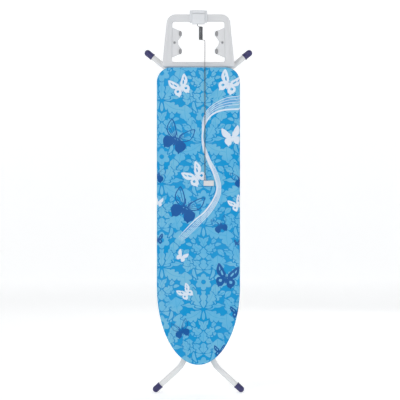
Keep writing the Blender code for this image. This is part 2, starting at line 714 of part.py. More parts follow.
def make_legs():
    inner_line = leg_line(INNER_X, INNER_FOOT_X, INNER_FLARE)
    outer_line = leg_line(OUTER_X, OUTER_FOOT_X, OUTER_FLARE)
    make_leg("inner", "front", inner_line, INNER_FLARE, INNER_AXIS, along_inner)
    make_leg("outer", "rear", outer_line, OUTER_FLARE, OUTER_AXIS, along_outer)
    make_rungs("inner", INNER_X, INNER_RUNGS, INNER_AXIS, along_inner)
    make_rungs("outer", OUTER_X, OUTER_RUNGS, OUTER_AXIS, along_outer)
    drill_tubes("inner", INNER_X, ROD_RADIUS, 0, "axle", INNER_AXIS)
    drill_tubes("inner", INNER_X, BOLT_RADIUS, -CROSS_REACH, "bolt", INNER_AXIS)
    drill_tubes("outer", OUTER_X, BOLT_RADIUS, 0, "bolt", OUTER_AXIS)
    drill_tubes("outer", OUTER_X, ROD_RADIUS, -CROSS_REACH, "rod", OUTER_AXIS)


def make_cross_pivot():
    """A bolt, a spacer and a nut at each side, carried by the inner leg."""
    inside = INNER_X - TUBE_RADIUS - GAP
    between = (INNER_X + TUBE_RADIUS + GAP, OUTER_X - TUBE_RADIUS - GAP)
    outside = OUTER_X + TUBE_RADIUS + GAP
    for word, side in SIDES.items():
        length = outside - inside + 0.0060
        turn = (0, 0, 0) if side > 0 else (0, 0, math.pi)
        bolt = add_part(f"cross_bolt_{word}",
                        turned(screw_profile(0.0065, 0.0035, BOLT_RADIUS, length), axis="X"), ZINC,
                        INNER_AXIS)
        place(bolt, (side * outside, 0, -CROSS_REACH), turn)
        half = (between[1] - between[0]) / 2
        ring = ring_profile(0.0095, BOLT_RADIUS + HOLE_CLEARANCE, -half, half)
        spacer = add_part(f"cross_spacer_{word}", turned(ring, axis="X", closed=True), NYLON, INNER_AXIS)
        place(spacer, (side * sum(between) / 2, 0, -CROSS_REACH))
        nut_bore = (BOLT_RADIUS + HOLE_CLEARANCE) / math.cos(math.radians(30))
        nut_ring = ring_profile(0.0060, nut_bore, -0.0025, 0.0025)
        nut = add_part(f"cross_nut_{word}", turned(nut_ring, steps=6, axis="X", closed=True), ZINC,
                       INNER_AXIS)
        place(nut, (side * (inside - 0.0025), 0, -CROSS_REACH))


# --- rails, axle and carriage ------------------------------------------------------------------

def make_rails():
    """Two angle rails riveted to the mesh: a hole for the fixed axle and a slot for the sliders."""
    front = MESH_THICKNESS + GAP
    middle_z = (RAIL_TOP_Z + RAIL_BOTTOM_Z) / 2
    length = RAIL_TOP_Z - RAIL_BOTTOM_Z
    slot_top = slide_height(OPEN_ANGLE) + SLIDER_RADIUS + 0.0015
    slot_bottom = SLIDE_Z - SLIDER_RADIUS - 0.0015
    slot = rounded([(at_depth(AXLE_DEPTH - SLOT_HALF), slot_bottom, 0.0055),
                    (at_depth(AXLE_DEPTH + SLOT_HALF), slot_bottom, 0.0055),
                    (at_depth(AXLE_DEPTH + SLOT_HALF), slot_top, 0.0055),
                    (at_depth(AXLE_DEPTH - SLOT_HALF), slot_top, 0.0055)])
    for word, side in SIDES.items():
        wall, wall_out, edge = RAIL_X, RAIL_X + RAIL_THICKNESS, RAIL_X + RAIL_FLANGE
        section = [(side * wall, -at_depth(front)), (side * edge, -at_depth(front)),
                   (side * edge, -at_depth(front + RAIL_THICKNESS)),
                   (side * wall_out, -at_depth(front + RAIL_THICKNESS)),
                   (side * wall_out, -at_depth(RAIL_BACK)), (side * wall, -at_depth(RAIL_BACK))]
        level = Matrix.Rotation(math.radians(180), 4, "X")
        rail = add_part(f"side_rail_{word}", plate([section], length, (0, 0, middle_z), level), ZINC)
        cutter = new_cutter(f"rail_slot_{word}", plate([slot], 0.020, (side * RAIL_X, 0, 0), SIDE_ON))
        hole = drill(f"rail_axle_hole_{word}", ROD_RADIUS + HOLE_CLEARANCE, 0.010,
                     (side * RAIL_X, at_depth(AXLE_DEPTH), PIVOT_Z))
        cut(rail, cutter, hole)


def make_rod_caps(tag, parent, centre):
    """Push-on caps outside the rails."""
    inner_face = RAIL_X + RAIL_THICKNESS + 0.0006
    reach = ROD_HALF - inner_face
    cup = [(0, reach + 0.0018), (0.0060, reach + 0.0018), (0.0068, reach + 0.0010), (0.0068, 0),
           (ROD_RADIUS + GAP, 0), (ROD_RADIUS + GAP, reach + GAP), (0, reach + GAP)]
    for word, side in SIDES.items():
        cap = add_part(f"{tag}_cap_{word}", turned(cup, axis="X"), NYLON, parent)
        turn = (0, 0, 0) if side > 0 else (0, 0, math.pi)
        place(cap, Vector(centre) + Vector((side * inner_face, 0, 0)), turn)


def make_axle():
    """The fixed axle of the inner leg, with the sleeves that keep the leg centred."""
    centre = (0, at_depth(AXLE_DEPTH), PIVOT_Z)
    place(add_part("pivot_axle", turned(rod_profile(ROD_RADIUS, ROD_HALF), axis="X"), ZINC), centre)
    make_rod_caps("axle", None, centre)
    inside, outside = INNER_X + TUBE_RADIUS + GAP, RAIL_X - GAP
    half = (outside - inside) / 2
    for word, side in SIDES.items():
        sleeve = add_part(f"axle_sleeve_{word}",
                          turned(ring_profile(0.0075, ROD_RADIUS + HOLE_CLEARANCE, -half, half), axis="X",
                                 closed=True), NYLON)
        place(sleeve, (side * (inside + outside) / 2, centre[1], centre[2]))


def make_carriage():
    """The rod at the outer leg's upper end, its sliders in the rails, and the lever's spring."""
    add_part("carriage_rod", turned(rod_profile(ROD_RADIUS, ROD_HALF), axis="X"), ZINC, CARRIAGE_AXIS)
    make_rod_caps("rod", CARRIAGE_AXIS, (0, 0, 0))
    inner_face = OUTER_X + TUBE_RADIUS + 0.0004
    flange_end, nose_end = RAIL_X - 0.0004, RAIL_X + RAIL_THICKNESS
    bore = ROD_RADIUS + HOLE_CLEARANCE
    profile = [(SLIDER_RADIUS, nose_end - inner_face), (SLIDER_RADIUS, flange_end - inner_face),
               (SLIDER_FLANGE, flange_end - inner_face), (SLIDER_FLANGE, 0), (bore, 0),
               (bore, nose_end - inner_face)]
    for word, side in SIDES.items():
        slider = add_part(f"slider_{word}", turned(profile, axis="X", steps=16, closed=True), NYLON,
                          CARRIAGE_AXIS)
        place(slider, (side * inner_face, 0, 0), (0, 0, 0) if side > 0 else (0, 0, math.pi))
    turn = Matrix.Rotation(math.radians(90), 4, "Y")
    radius = ROD_RADIUS + 2 * GAP + 0.0008
    coil = [turn @ point for point in coil_points(radius, 0.0060, -0.0060, 4, math.radians(90))]
    tail = coil[-1] + Vector((0, 0.0020, 0.0140))
    spring = add_part("lever_spring", swept(coil + [tail], 0.0008, 6), SPRING_STEEL, CARRIAGE_AXIS)
    place(spring, (0.0150, 0, 0))


def make_height_rack():
    """A toothed steel strip down the middle of the mesh; the pawl pin drops into its notches."""
    offset = math.sqrt(PAWL_REACH ** 2 - pawl_drop() ** 2)
    top = slide_height(OPEN_ANGLE) + offset + RACK_RUN_IN
    bottom = SLIDE_Z + offset - RACK_RUN_IN
    half_notch = PAWL_RADIUS + 0.0006
    crest = [(RACK_CREST, top)]
    for angle in reversed(NOTCH_ANGLES):
        z = slide_height(math.radians(angle)) + offset
        crest += [(RACK_CREST, z + half_notch + 0.0015), (RACK_NOTCH, z + half_notch),
                  (RACK_NOTCH, z - half_notch), (RACK_CREST, z - half_notch)]
    crest += [(RACK_CREST, bottom), (MESH_THICKNESS + GAP, bottom), (MESH_THICKNESS + GAP, top)]
    side_view = [(at_depth(depth), z) for depth, z in crest]
    add_part("height_rack", plate([side_view], RACK_THICKNESS, (0, 0, 0), SIDE_ON), ZINC)


def make_height_lever():
    """The lever plate on the carriage rod, its pawl pin and its grip."""
    reach = math.sqrt(PAWL_REACH ** 2 - pawl_drop() ** 2)
    back, front = LEVER_HUB, 0.001 - LEVER_HUB
    grip_y, grip_z = GRIP_MIDDLE
    plan = rounded([(back, reach - 0.002, 0.004), (front, reach + 0.005, 0.004), (front, -0.006, 0.004),
                    (grip_y - 0.0045, LEVER_FOOT_Z, 0.003), (grip_y + 0.0045, LEVER_FOOT_Z, 0.003),
                    (back + 0.004, -0.010, 0.006)])
    lever = add_part("height_lever", plate([plan], LEVER_THICKNESS, (0, 0, 0), SIDE_ON), ZINC, LEVER_AXIS)
    place(lever, (LEVER_X + LEVER_THICKNESS / 2, 0, 0))
    cut(lever, drill("lever_bore", ROD_RADIUS + HOLE_CLEARANCE, 0.005, (LEVER_X, 0, 0), "X", LEVER_AXIS),
        drill("pawl_bore", PAWL_RADIUS + GAP, 0.005, (LEVER_X, -pawl_drop(), reach), "X", LEVER_AXIS))
    pin = add_part("pawl_pin", turned(rod_profile(PAWL_RADIUS, 0.0065), axis="X"), ZINC, LEVER_AXIS)
    place(pin, (0.0025, -pawl_drop(), reach))
    grip = add_part("lever_grip", box(GRIP_SIZE, (0, 0, 0), 0.0025), NAVY_PLASTIC, LEVER_AXIS)
    place(grip, (0, grip_y, grip_z))
    socket = box((LEVER_THICKNESS + 2 * GAP, GRIP_SIZE[1] + 0.001, 0.0220), (0, 0, 0))
    cutter = new_cutter("grip_socket", socket, LEVER_AXIS)
    place(cutter, (LEVER_X + LEVER_THICKNESS / 2, grip_y, LEVER_FOOT_Z + 0.0100))
    cut(grip, cutter)


def pawl_drop():
    """How far in front of the rod's axis the pawl pin runs, so that it rides just on the crest."""
    return AXLE_DEPTH - RACK_CREST - PAWL_RADIUS - 2 * GAP


def slide_height(angle):
    """Height of the carriage rod when the legs slope by this angle."""
    return PIVOT_Z - 2 * CROSS_REACH * math.cos(angle)


# --- assembly ----------------------------------------------------------------------------------

PIVOT_Z = FOOT_RADIUS + LEG_REACH * math.cos(FOLD_ANGLE)
SLIDE_Z = REAR_BALL_Z - LEG_REACH * math.cos(FOLD_ANGLE)
CROSS_REACH = (PIVOT_Z - SLIDE_Z) / 2 / math.cos(FOLD_ANGLE)
AXLE_Y = at_depth(AXLE_DEPTH)
CROSS_Y = AXLE_Y + CROSS_REACH * math.sin(FOLD_ANGLE)
CROSS_Z = (PIVOT_Z + SLIDE_Z) / 2

clear_scene()
PARTS = new_collection("ironing_board")
CUTTERS = new_collection("cutters")

COVER_CLOTH = new_material("cover_cloth", (0.010, 0.300, 0.690), 0.85)
FOAM = new_material("foam", (0.80, 0.80, 0.74), 0.95)
ELASTIC = new_material("elastic", (0.85, 0.86, 0.88), 0.90)
PAINTED_STEEL = new_material("painted_steel", (0.76, 0.77, 0.78), 0.45)
WHITE_PAINT = new_material("white_paint", (0.78, 0.79, 0.80), 0.30)
WHITE_PLASTIC = new_material("white_plastic", (0.72, 0.74, 0.76), 0.42)
GREY_RUBBER = new_material("grey_rubber", (0.25, 0.26, 0.27), 0.70)
NAVY_RUBBER = new_material("navy_rubber", (0.030, 0.025, 0.110), 0.45)
NAVY_PLASTIC = new_material("navy_plastic", (0.030, 0.025, 0.110), 0.35)
NYLON = new_material("nylon", (0.65, 0.66, 0.66), 0.50)
ZINC = new_material("zinc_plate", (0.62, 0.63, 0.65), 0.35, 1.0)
SPRING_STEEL = new_material("spring_steel", (0.35, 0.36, 0.38), 0.30, 1.0)

INNER_AXIS = pivot("inner_leg_axis", (0, AXLE_Y, PIVOT_Z), FOLD_ANGLE)
OUTER_AXIS = pivot("outer_leg_axis", (0, CROSS_Y, CROSS_Z), -FOLD_ANGLE)
CARRIAGE_AXIS = pivot("carriage_axis", (0, AXLE_Y, SLIDE_Z))
LEVER_AXIS = pivot("lever_axis", (0, AXLE_Y, SLIDE_Z))
THUMB_AXIS = pivot("thumb_screw_axis", (0, at_depth(REST_BACK + GAP + THUMB_STANDOFF), THUMB_Z))
MAST_AXIS = pivot("mast_axis", (HOOK_X, at_depth(MAST_DEPTH), MAST_PIVOT_Z))

make_board_mesh()
make_board_rim()
make_foam_pad()
make_cover()
make_hem_elastic()
make_iron_rest()
make_rest_pads()
make_rest_screws()
make_rest_arms()
make_cord_clamp()
make_thumb_screw()
make_mast()
make_legs()
make_cross_pivot()
make_rails()
make_axle()
make_carriage()
make_height_rack()
make_height_lever()
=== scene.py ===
"""The looks of a folding ironing board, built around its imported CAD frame.

X is to the right, Y points from the ironing face towards the legs, and Z is up, in metres.
"Depth" means the distance behind the front surface of the steel board mesh, as in the CAD.
"""

import math
import random

import bmesh
import bpy
import numpy as np
from mathutils import Matrix, Vector
from mathutils.bvhtree import BVHTree


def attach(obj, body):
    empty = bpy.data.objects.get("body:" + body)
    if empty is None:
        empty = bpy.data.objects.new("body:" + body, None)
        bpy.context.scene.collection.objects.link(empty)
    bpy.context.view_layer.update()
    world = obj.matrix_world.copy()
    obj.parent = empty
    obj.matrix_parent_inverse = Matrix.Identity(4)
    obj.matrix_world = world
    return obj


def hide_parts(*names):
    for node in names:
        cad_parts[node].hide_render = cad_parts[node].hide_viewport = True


MESH_FRONT_Y = -0.0302
SIDES = {"left": -1, "right": 1}
TURN_BACK = Matrix.Rotation(math.radians(-90), 3, "X")   # Z to Y
TURN_FRONT = Matrix.Rotation(math.radians(90), 3, "X")   # Z to -Y
GAP = 0.0003                   # left between pieces that nearly touch
MERGE = 1e-6                   # points closer than this become one

# Board and cover
NOSE_Z = 0.1085
REAR_Z = 1.2085
HALF_WIDTH = 0.154
NOSE_LENGTH = 0.288
REAR_CORNER = 0.055
COVER_FRONT = -0.0098
COVER_BACK = 0.0160
HEM_WIDTH = 0.016
HEM_WAVE = 0.0013               # height of the hem's gathers
PAD_FRONT = -0.0083
CLOTH_STEP = 0.0024            # spacing of the cover's points
FRONT_ROUNDING = 0.0065
PAD_PRESSURE = 0.10            # swells the felt gently, so that the clip slides clear of the cover
PAD_STIFFNESS = 60.0
PAD_BENDING = 8.0
PAD_INSET, PAD_BACK = 0.0024, -GAP
PAD_HELD_DEPTH = -0.003        # the felt behind this depth is held on the mesh
PAD_VOXEL, PAD_LIMIT, PAD_FRAMES = 0.006, 0.0020, 20
MESH_CELL = (0.022, 0.0105)    # one diamond of the expanded metal
MESH_STRAND = 0.74             # size of a hole as a share of its cell
MESH_THICKNESS = 0.0010
MESH_MARGIN, BORDER_INSETS, BORDER_THICKNESS = 0.0045, (0.0036, 0.0150), 0.0015
RIVET_X, RIVET_HEIGHTS = 0.1050, (0.245, 0.600, 0.700, 0.800, 0.900, 1.080)

# Iron rest
REST_TOP_Z, REST_BOTTOM_Z, REST_BAR_Z, BAR_BOTTOM_Z = 1.4046, 1.2100, 1.2286, 1.3771
REST_FRONT, REST_BACK = 0.0037, 0.0177
REST_TOP_HALF, REST_BOTTOM_HALF = 0.1150, 0.1345
OPENING_TOP_HALF, OPENING_BOTTOM_HALF = 0.0958, 0.0975
LOBE_FRONT, LOBE_BACK, LOBE_ROOT, LOBE_TIP = 0.0067, 0.0127, 0.106, 0.060
SOFT_PAD_X, SOFT_PAD_HEIGHTS = 0.0672, {"upper": 1.3335, "lower": 1.2672}
SOFT_PAD_HALVES = (0.0052, 0.0102)
SCREW_X, SCREW_Z, SCREW_RADIUS, SCREW_HEIGHT = 0.0883, 1.3000, 0.0046, 0.0020

# Cord holder
CLAMP_TOP_Z, CLAMP_BOTTOM_Z, CLAMP_JAW_Z = 1.4189, 1.3669, 1.3746
CLAMP_STEP_Z, CLAMP_LIP, CLAMP_FRONT = 1.4068, 0.0008, -0.0090
CLAMP_LENGTH, BLOCK_LENGTH, JAW_FRONT_WALL, JAW_BACK_WALL = 0.0650, 0.0470, 0.0045, 0.0050
PLUG_X, PLUG_Z, KNOB_Z, KNOB_STAND = 0.0155, 1.3994, 1.3910, 0.0090
KNOB_LOBES, KNOB_WAIST = 9, 0.07
HOOK_X, MAST_DEPTH, MAST_PIVOT_Z = -0.0037, -0.0057, 1.3720
MAST_X, WIRE_X, WIRE_DEPTH = 0.0089, 0.0240, -0.0122
COIL_RADIUS, COIL_TOP_Z, COIL_BOTTOM_Z = 0.0062, 1.3575, 1.3105
COIL_TURNS, TURN_POINTS, HOOK_RADIUS = 20, 20, 0.0030
WIRE_RADIUS, WIRE_END_Z = 0.0012, 0.7795
CLIP_X, CLIP_FORWARD, CLIP_TALL, CLIP_DEEP = WIRE_X + 0.0140, 0.0035, 0.0200, 0.0100
PRONG_LENGTH, PRONG_THICKNESS = 0.0230, 0.0025

# Legs
FOLD_ANGLE = math.radians(3)
AXLE_DEPTH = 0.016
LEG_REACH = 1.008
FOOT_RADIUS, FOOT_LENGTH = 0.01225, 0.0368
TUBE_RADIUS, TUBE_OVERHANG, BEND_RADIUS = 0.0105, 0.0098, 0.100
PIVOT_Z = FOOT_RADIUS + LEG_REACH * math.cos(FOLD_ANGLE)
SLIDE_Z = 1.2655 - LEG_REACH * math.cos(FOLD_ANGLE)
CAP_CUT = 0.004                # the tube ends this far short of the cap's centre
RUNG_RADIUS, RUNG_FLARE, FLARE_LENGTH, WELD_RADIUS, WELD_RIPPLES = 0.0080, 0.0022, 0.0035, 0.0092, 18
GRIP_SIZE, GRIP_BEHIND, GRIP_BELOW = (0.0440, 0.0084, 0.0300), 0.0145, 0.0720
# name, foot word, half spacing, foot x, flare, rungs, upper pivot's height, direction down the leg
LEGS = (("inner", "front", 0.0473, 0.1586, math.radians(47.5), (0.115, 0.820), PIVOT_Z, -1),
        ("outer", "rear", 0.0780, 0.1890, math.radians(51.0), (0.660, 0.860), SLIDE_Z, 1))

# Studio: each light's place, size and power
LIGHTS = {"key": ((-2.6, -4.2, 3.0), (2.4, 2.4), 70), "fill": ((3.4, -3.8, 1.6), (2.2, 3.0), 26),
          "top": ((0.3, 0.6, 4.2), (3.0, 2.4), 30), "back": ((1.8, 4.2, 2.6), (2.4, 2.4), 30)}
LIGHT_TARGET = (0, 0, 0.75)
WORLD_STRENGTH = 0.25
FLOOR_RADIUS, WALL_SWEEP, WALL_TOP = 10.0, 3.0, 9.0
CAMERA_DISTANCE = 7.0
VIEW_HEIGHT = 1.4764
VIEW_CENTRE = (0.0059, 0.7177)

# Print on the cover
REPEAT = 0.3082                # height and width of the damask's repeat, laid as a half drop
MOTIF = (0.0188, 0.3153)       # heart of one motif
MM = 0.001
LEAF_GAP = 0.0034
FAR = 60.0                     # distance in millimetres where nothing is printed
MOTIF_REACH = (125, -215, 150)  # a motif's furthest point across, down and up, in millimetres
PALETTE = {"edge": (4, 100, 166), "ground": (2, 139, 197), "leaf": (88, 168, 208), "vein": (40, 150, 199),
           "white": (204, 214, 226), "dark": (12, 82, 150), "cell": (104, 176, 212)}

# Leaves of a motif's right half, in millimetres from its heart: base, tip, half width, lobes, bend
LEAVES = (
    ((0, -166), (50, -142), 17, 3, -0.10), ((4, -162), (40, -126), 14, 2, 0.05),
    ((0, -162), (0, -120), 13, 2, 0), ((37, -159), (22, -198), 6, 0, 0.14),
    ((7, -100), (50, -90), 14, 3, 0.12), ((4, -92), (43, -57), 13, 2, -0.12),
    ((7, -111), (35, -126), 9, 1, 0), ((0, -122), (0, -81), 14, 2, 0),
    ((0, -78), (20, -40), 9, 2, 0.10), ((30, -66), (54, -46), 7, 1, 0.1),
    ((43, -74), (66, -68), 6, 0, 0.1), ((7, -4), (84, -36), 20, 4, -0.12),
    ((11, 0), (82, 13), 9, 2, 0.08), ((7, 4), (78, 60), 18, 4, 0.10),
    ((6, 11), (38, 78), 17, 3, -0.10), ((0, 4), (0, 88), 11, 3, 0), ((0, -41), (0, -7), 6, 0, 0),
    ((52, -89), (76, -116), 9, 1, 0.1), ((55, -151), (76, -116), 12, 2, 0),
    ((74, -89), (99, -101), 8, 1, 0), ((41, 140), (28, 104), 6, 0, 0.18),
    ((68, 137), (62, 76), 25, 2, 0.06), ((102, 44), (92, -18), 27, 2, 0.06),
    ((112, -62), (108, -102), 17, 1, 0),
)
STAR = (100, 31)                                        # height above the heart, and radius

# Butterflies: x, z, forewing length, heading in degrees, kind
BUTTERFLIES = (
    (-0.064, 1.131, 0.047, 114, "white"), (0.110, 1.142, 0.052, 65, "white"),
    (0.124, 0.946, 0.045, 101, "solid"), (-0.007, 0.803, 0.050, 130, "white"),
    (-0.148, 0.707, 0.022, 80, "solid"), (0.143, 0.699, 0.034, 120, "white"),
    (-0.063, 0.507, 0.026, 60, "solid"), (-0.044, 0.373, 0.034, 130, "white"),
    (-0.083, 0.938, 0.070, 65, "dark"), (-0.153, 0.806, 0.040, 80, "dark"),
    (-0.051, 0.684, 0.074, 65, "dark"), (0.157, 0.791, 0.041, 110, "dark"),
    (0.082, 0.620, 0.038, 109, "dark"), (0.102, 0.426, 0.056, 79, "night"),
    (0.143, 0.558, 0.015, 90, "night"), (-0.061, 0.234, 0.042, 110, "dark"),
    (0.143, 0.301, 0.030, 100, "night"), (0.080, 0.157, 0.028, 95, "night"),
    (-0.150, 0.570, 0.026, 90, "night"),
)

# A butterfly's right wings, as shares of its forewing's length: x out, y along the heading
FOREWING = ((0.03, 0.08), (0.18, 0.46), (0.44, 0.80), (0.66, 0.95), (0.72, 0.84), (0.75, 0.58),
            (0.70, 0.34), (0.54, 0.16), (0.28, 0.05))
HINDWING = ((0.04, 0.03), (0.28, 0.06), (0.54, 0.04), (0.64, -0.16), (0.58, -0.36), (0.47, -0.50),
            (0.41, -0.64), (0.35, -0.54), (0.20, -0.50), (0.08, -0.28))
WINDOWS = (((0.22, 0.24), (0.38, 0.50), (0.44, 0.42), (0.32, 0.22)),
           ((0.48, 0.56), (0.60, 0.76), (0.58, 0.56), (0.52, 0.46)),
           ((0.24, -0.06), (0.42, -0.08), (0.44, -0.22), (0.28, -0.24)))
WING_VEINS = (((0.06, 0.10), (0.34, 0.44), (0.62, 0.80)), ((0.06, 0.08), (0.40, 0.34), (0.62, 0.50)),
              ((0.06, 0.06), (0.36, 0.20), (0.56, 0.30)))

# The ribbon's two edges, from the right side of the board down to its end, and its lines:
# place between the edges and half width in millimetres
RIBBON_A = ((0.175, 1.054), (0.095, 1.050), (0.054, 1.035), (0.030, 1.009), (0.017, 0.972),
            (0.015, 0.932), (0.023, 0.895), (0.039, 0.854), (0.058, 0.810), (0.069, 0.762),
            (0.056, 0.721), (0.024, 0.675), (-0.013, 0.644), (-0.049, 0.607), (-0.079, 0.574))
RIBBON_B = ((0.175, 1.102), (0.109, 1.096), (0.058, 1.072), (0.028, 1.042), (0.015, 1.000),
            (0.017, 0.945), (0.030, 0.900), (0.047, 0.860), (0.069, 0.820), (0.082, 0.773),
            (0.078, 0.729), (0.050, 0.677), (0.006, 0.629), (-0.038, 0.585), (-0.116, 0.522))
RIBBON_LINES = ((0.0, 3.0), (0.35, 0.9), (0.56, 0.9), (0.78, 0.8), (1.0, 1.0))


# --- building ------------------------------------------------------------------------------------

def at_depth(depth):
    return MESH_FRONT_Y + depth


def linked(name, data):
    """A new object in the scene."""
    made = bpy.data.objects.new(name, data)
    bpy.context.scene.collection.objects.link(made)
    return made


def new_piece(name, mesh, slot, body, *nodes, material=None, smooth=True):
    """A finished mesh as a piece that rides on a body and stands for CAD nodes. It takes its
    slot's material, unless another is named."""
    mesh.name = name
    if smooth:
        mesh.shade_smooth()
        mesh.set_sharp_from_angle(angle=math.radians(38))
    mesh.materials.clear()
    mesh.materials.append(MATERIALS[material or slot])
    piece = linked(name, mesh)
    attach(piece, body)
    if nodes:
        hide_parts(*nodes)
    return piece


def cleaned(mesh, merge=0.0, fill=False, outwards=True):
    """A mesh with close points merged, holes filled and faces turned outwards, each on request."""
    work = bmesh.new()
    work.from_mesh(mesh)
    if merge:
        bmesh.ops.remove_doubles(work, verts=work.verts, dist=merge)
    if fill:
        bmesh.ops.holes_fill(work, edges=[edge for edge in work.edges if edge.is_boundary])
    if outwards:
        bmesh.ops.recalc_face_normals(work, faces=work.faces)
    work.to_mesh(mesh)
    work.free()
    return mesh


def mesh_from(points, faces, **cleaning):
    mesh = bpy.data.meshes.new("mesh")
    mesh.from_pydata([tuple(point) for point in points], [], faces)
    return cleaned(mesh, **cleaning)


def ring_faces(rows, count, closed=False):
    """Faces between rings of points; closed also joins the last ring to the first."""
    return [(row * count + i, row * count + (i + 1) % count,
             (row + 1) % rows * count + (i + 1) % count, (row + 1) % rows * count + i)
            for row in range(rows if closed else rows - 1) for i in range(count)]


def joined(meshes):
    """Several meshes as one."""
    work = bmesh.new()
    for mesh in meshes:
        work.from_mesh(mesh)
        bpy.data.meshes.remove(mesh)
    result = bpy.data.meshes.new("joined")
    work.to_mesh(result)
    work.free()
    return result


def moved(mesh, location=(0, 0, 0), rotation=None):
    matrix = Matrix.Translation(location)
    if rotation is not None:
        matrix = matrix @ rotation.to_4x4()
    mesh.transform(matrix)
    return mesh


def evaluated(obj):
    """The object's final mesh; the object itself is removed."""
    mesh = bpy.data.meshes.new_from_object(obj.evaluated_get(bpy.context.evaluated_depsgraph_get()))
    bpy.data.objects.remove(obj, do_unlink=True)
    return mesh


def with_modifiers(mesh, *modifiers):
    """A mesh after modifiers, each given as (type, settings)."""
    guide = linked("guide", mesh)
    for kind, settings in modifiers:
        modifier = guide.modifiers.new(kind, kind)
        for key, value in settings.items():
            setattr(modifier, key, value)
    return evaluated(guide)


def tube(path, radius, sides, closed=False):
    """A round tube along points; radius is one number or one per point."""
    points = [Vector(point) for point in path]
    count = len(points)
    radii = [radius] * count if isinstance(radius, (int, float)) else list(radius)
    tangents = []
    for i in range(count):
        before = points[(i - 1) % count] if closed or i else points[i]
        after = points[(i + 1) % count] if closed or i < count - 1 else points[i]
        tangents.append((after - before).normalized())
    helper = Vector((0, 1, 0)) if abs(tangents[0].y) < 0.9 else Vector((1, 0, 0))
    side = tangents[0].cross(helper).normalized()
    vertices = []
    for i, (point, tangent) in enumerate(zip(points, tangents)):
        side = (side - tangent * side.dot(tangent)).normalized()
        up = tangent.cross(side)
        for k in range(sides):
            angle = math.tau * k / sides
            vertices.append(point + (side * math.cos(angle) + up * math.sin(angle)) * radii[i])
    faces = ring_faces(count, sides, closed)
    if not closed:
        faces += [tuple(range(sides)), tuple(range((count - 1) * sides, count * sides))]
    return mesh_from(vertices, faces)


def turned(profile, steps=32, ripple=None):
    """A turned piece about Z from its half profile (radius, height), which starts and ends anywhere.
    ripple(angle) scales the radius."""
    vertices, faces = [], []
    count = len(profile)
    for step in range(steps):
        angle = math.tau * step / steps
        scale = ripple(angle) if ripple else 1.0
        for radius, height in profile:
            vertices.append((radius * scale * math.cos(angle), radius * scale * math.sin(angle), height))
    for step in range(steps):
        following = (step + 1) % steps
        for i in range(count - 1):
            faces.append((step * count + i, step * count + i + 1,
                          following * count + i + 1, following * count + i))
    return mesh_from(vertices, faces, merge=MERGE, fill=True)


def rounded_box(size, centre, radius, segments=4):
    work = bmesh.new()
    bmesh.ops.create_cube(work, size=1.0, matrix=Matrix.Diagonal((*size, 1.0)))
    bmesh.ops.bevel(work, geom=work.edges, offset=radius, segments=segments, affect="EDGES", profile=0.5)
    bmesh.ops.translate(work, verts=work.verts, vec=centre)
    mesh = bpy.data.meshes.new("box")
    work.to_mesh(mesh)
    work.free()
    return mesh


def plate(loops, front, back, rounding):
    """A flat piece between two depths: closed loops of (x, z), the first outside, the rest holes."""
    return moved(slab(loops, back - front, rounding), (0, at_depth((front + back) / 2), 0))


def slab(loops, thickness, rounding):
    """Closed loops of (x, z) as a flat piece, centred on y = 0, with rounded edges."""
    curve = bpy.data.curves.new("plan", "CURVE")
    curve.dimensions = "2D"
    curve.fill_mode = "BOTH"
    curve.extrude = thickness / 2 - rounding
    curve.bevel_depth = rounding
    curve.bevel_resolution = 3
    curve.offset = -rounding
    for loop in loops:
        spline = curve.splines.new("POLY")
        spline.points.add(len(loop) - 1)
        for spline_point, (across, up) in zip(spline.points, loop):
            spline_point.co = (across, up, 0.0, 1.0)
        spline.use_cyclic_u = True
    guide = linked("guide", curve)
    bpy.context.view_layer.update()
    return moved(cleaned(evaluated(guide), merge=MERGE, outwards=False), rotation=TURN_FRONT)


def rounded(corners, segments=10):
    """A closed outline from corner points (x, z, radius)."""
    points = []
    for index, (x, z, radius) in enumerate(corners):
        here = Vector((x, z))
        before = (Vector(corners[index - 1][:2]) - here).normalized()
        after = (Vector(corners[(index + 1) % len(corners)][:2]) - here).normalized()
        opening = before.angle(after)
        if radius == 0:
            points.append((x, z))
            continue
        centre = here + (before + after).normalized() * radius / math.sin(opening / 2)
        start = here + before * radius / math.tan(opening / 2) - centre
        end = here + after * radius / math.tan(opening / 2) - centre
        turn = start.angle_signed(end)
        for step in range(segments + 1):
            spoke = start.copy()
            spoke.rotate(Matrix.Rotation(-turn * step / segments, 2))
            points.append(tuple(centre + spoke))
    return points


def dome(radius, height, base=0.0, step=15):
    """Half the profile of a dome, from its top to its rim at base; step is in degrees."""
    return [(radius * math.sin(math.radians(a)), base + (height - base) * math.cos(math.radians(a)))
            for a in range(0, 91, step)]


def mirrored(half):
    return half + [(-x, z, radius) for x, z, radius in reversed(half)]


# --- materials -----------------------------------------------------------------------------------

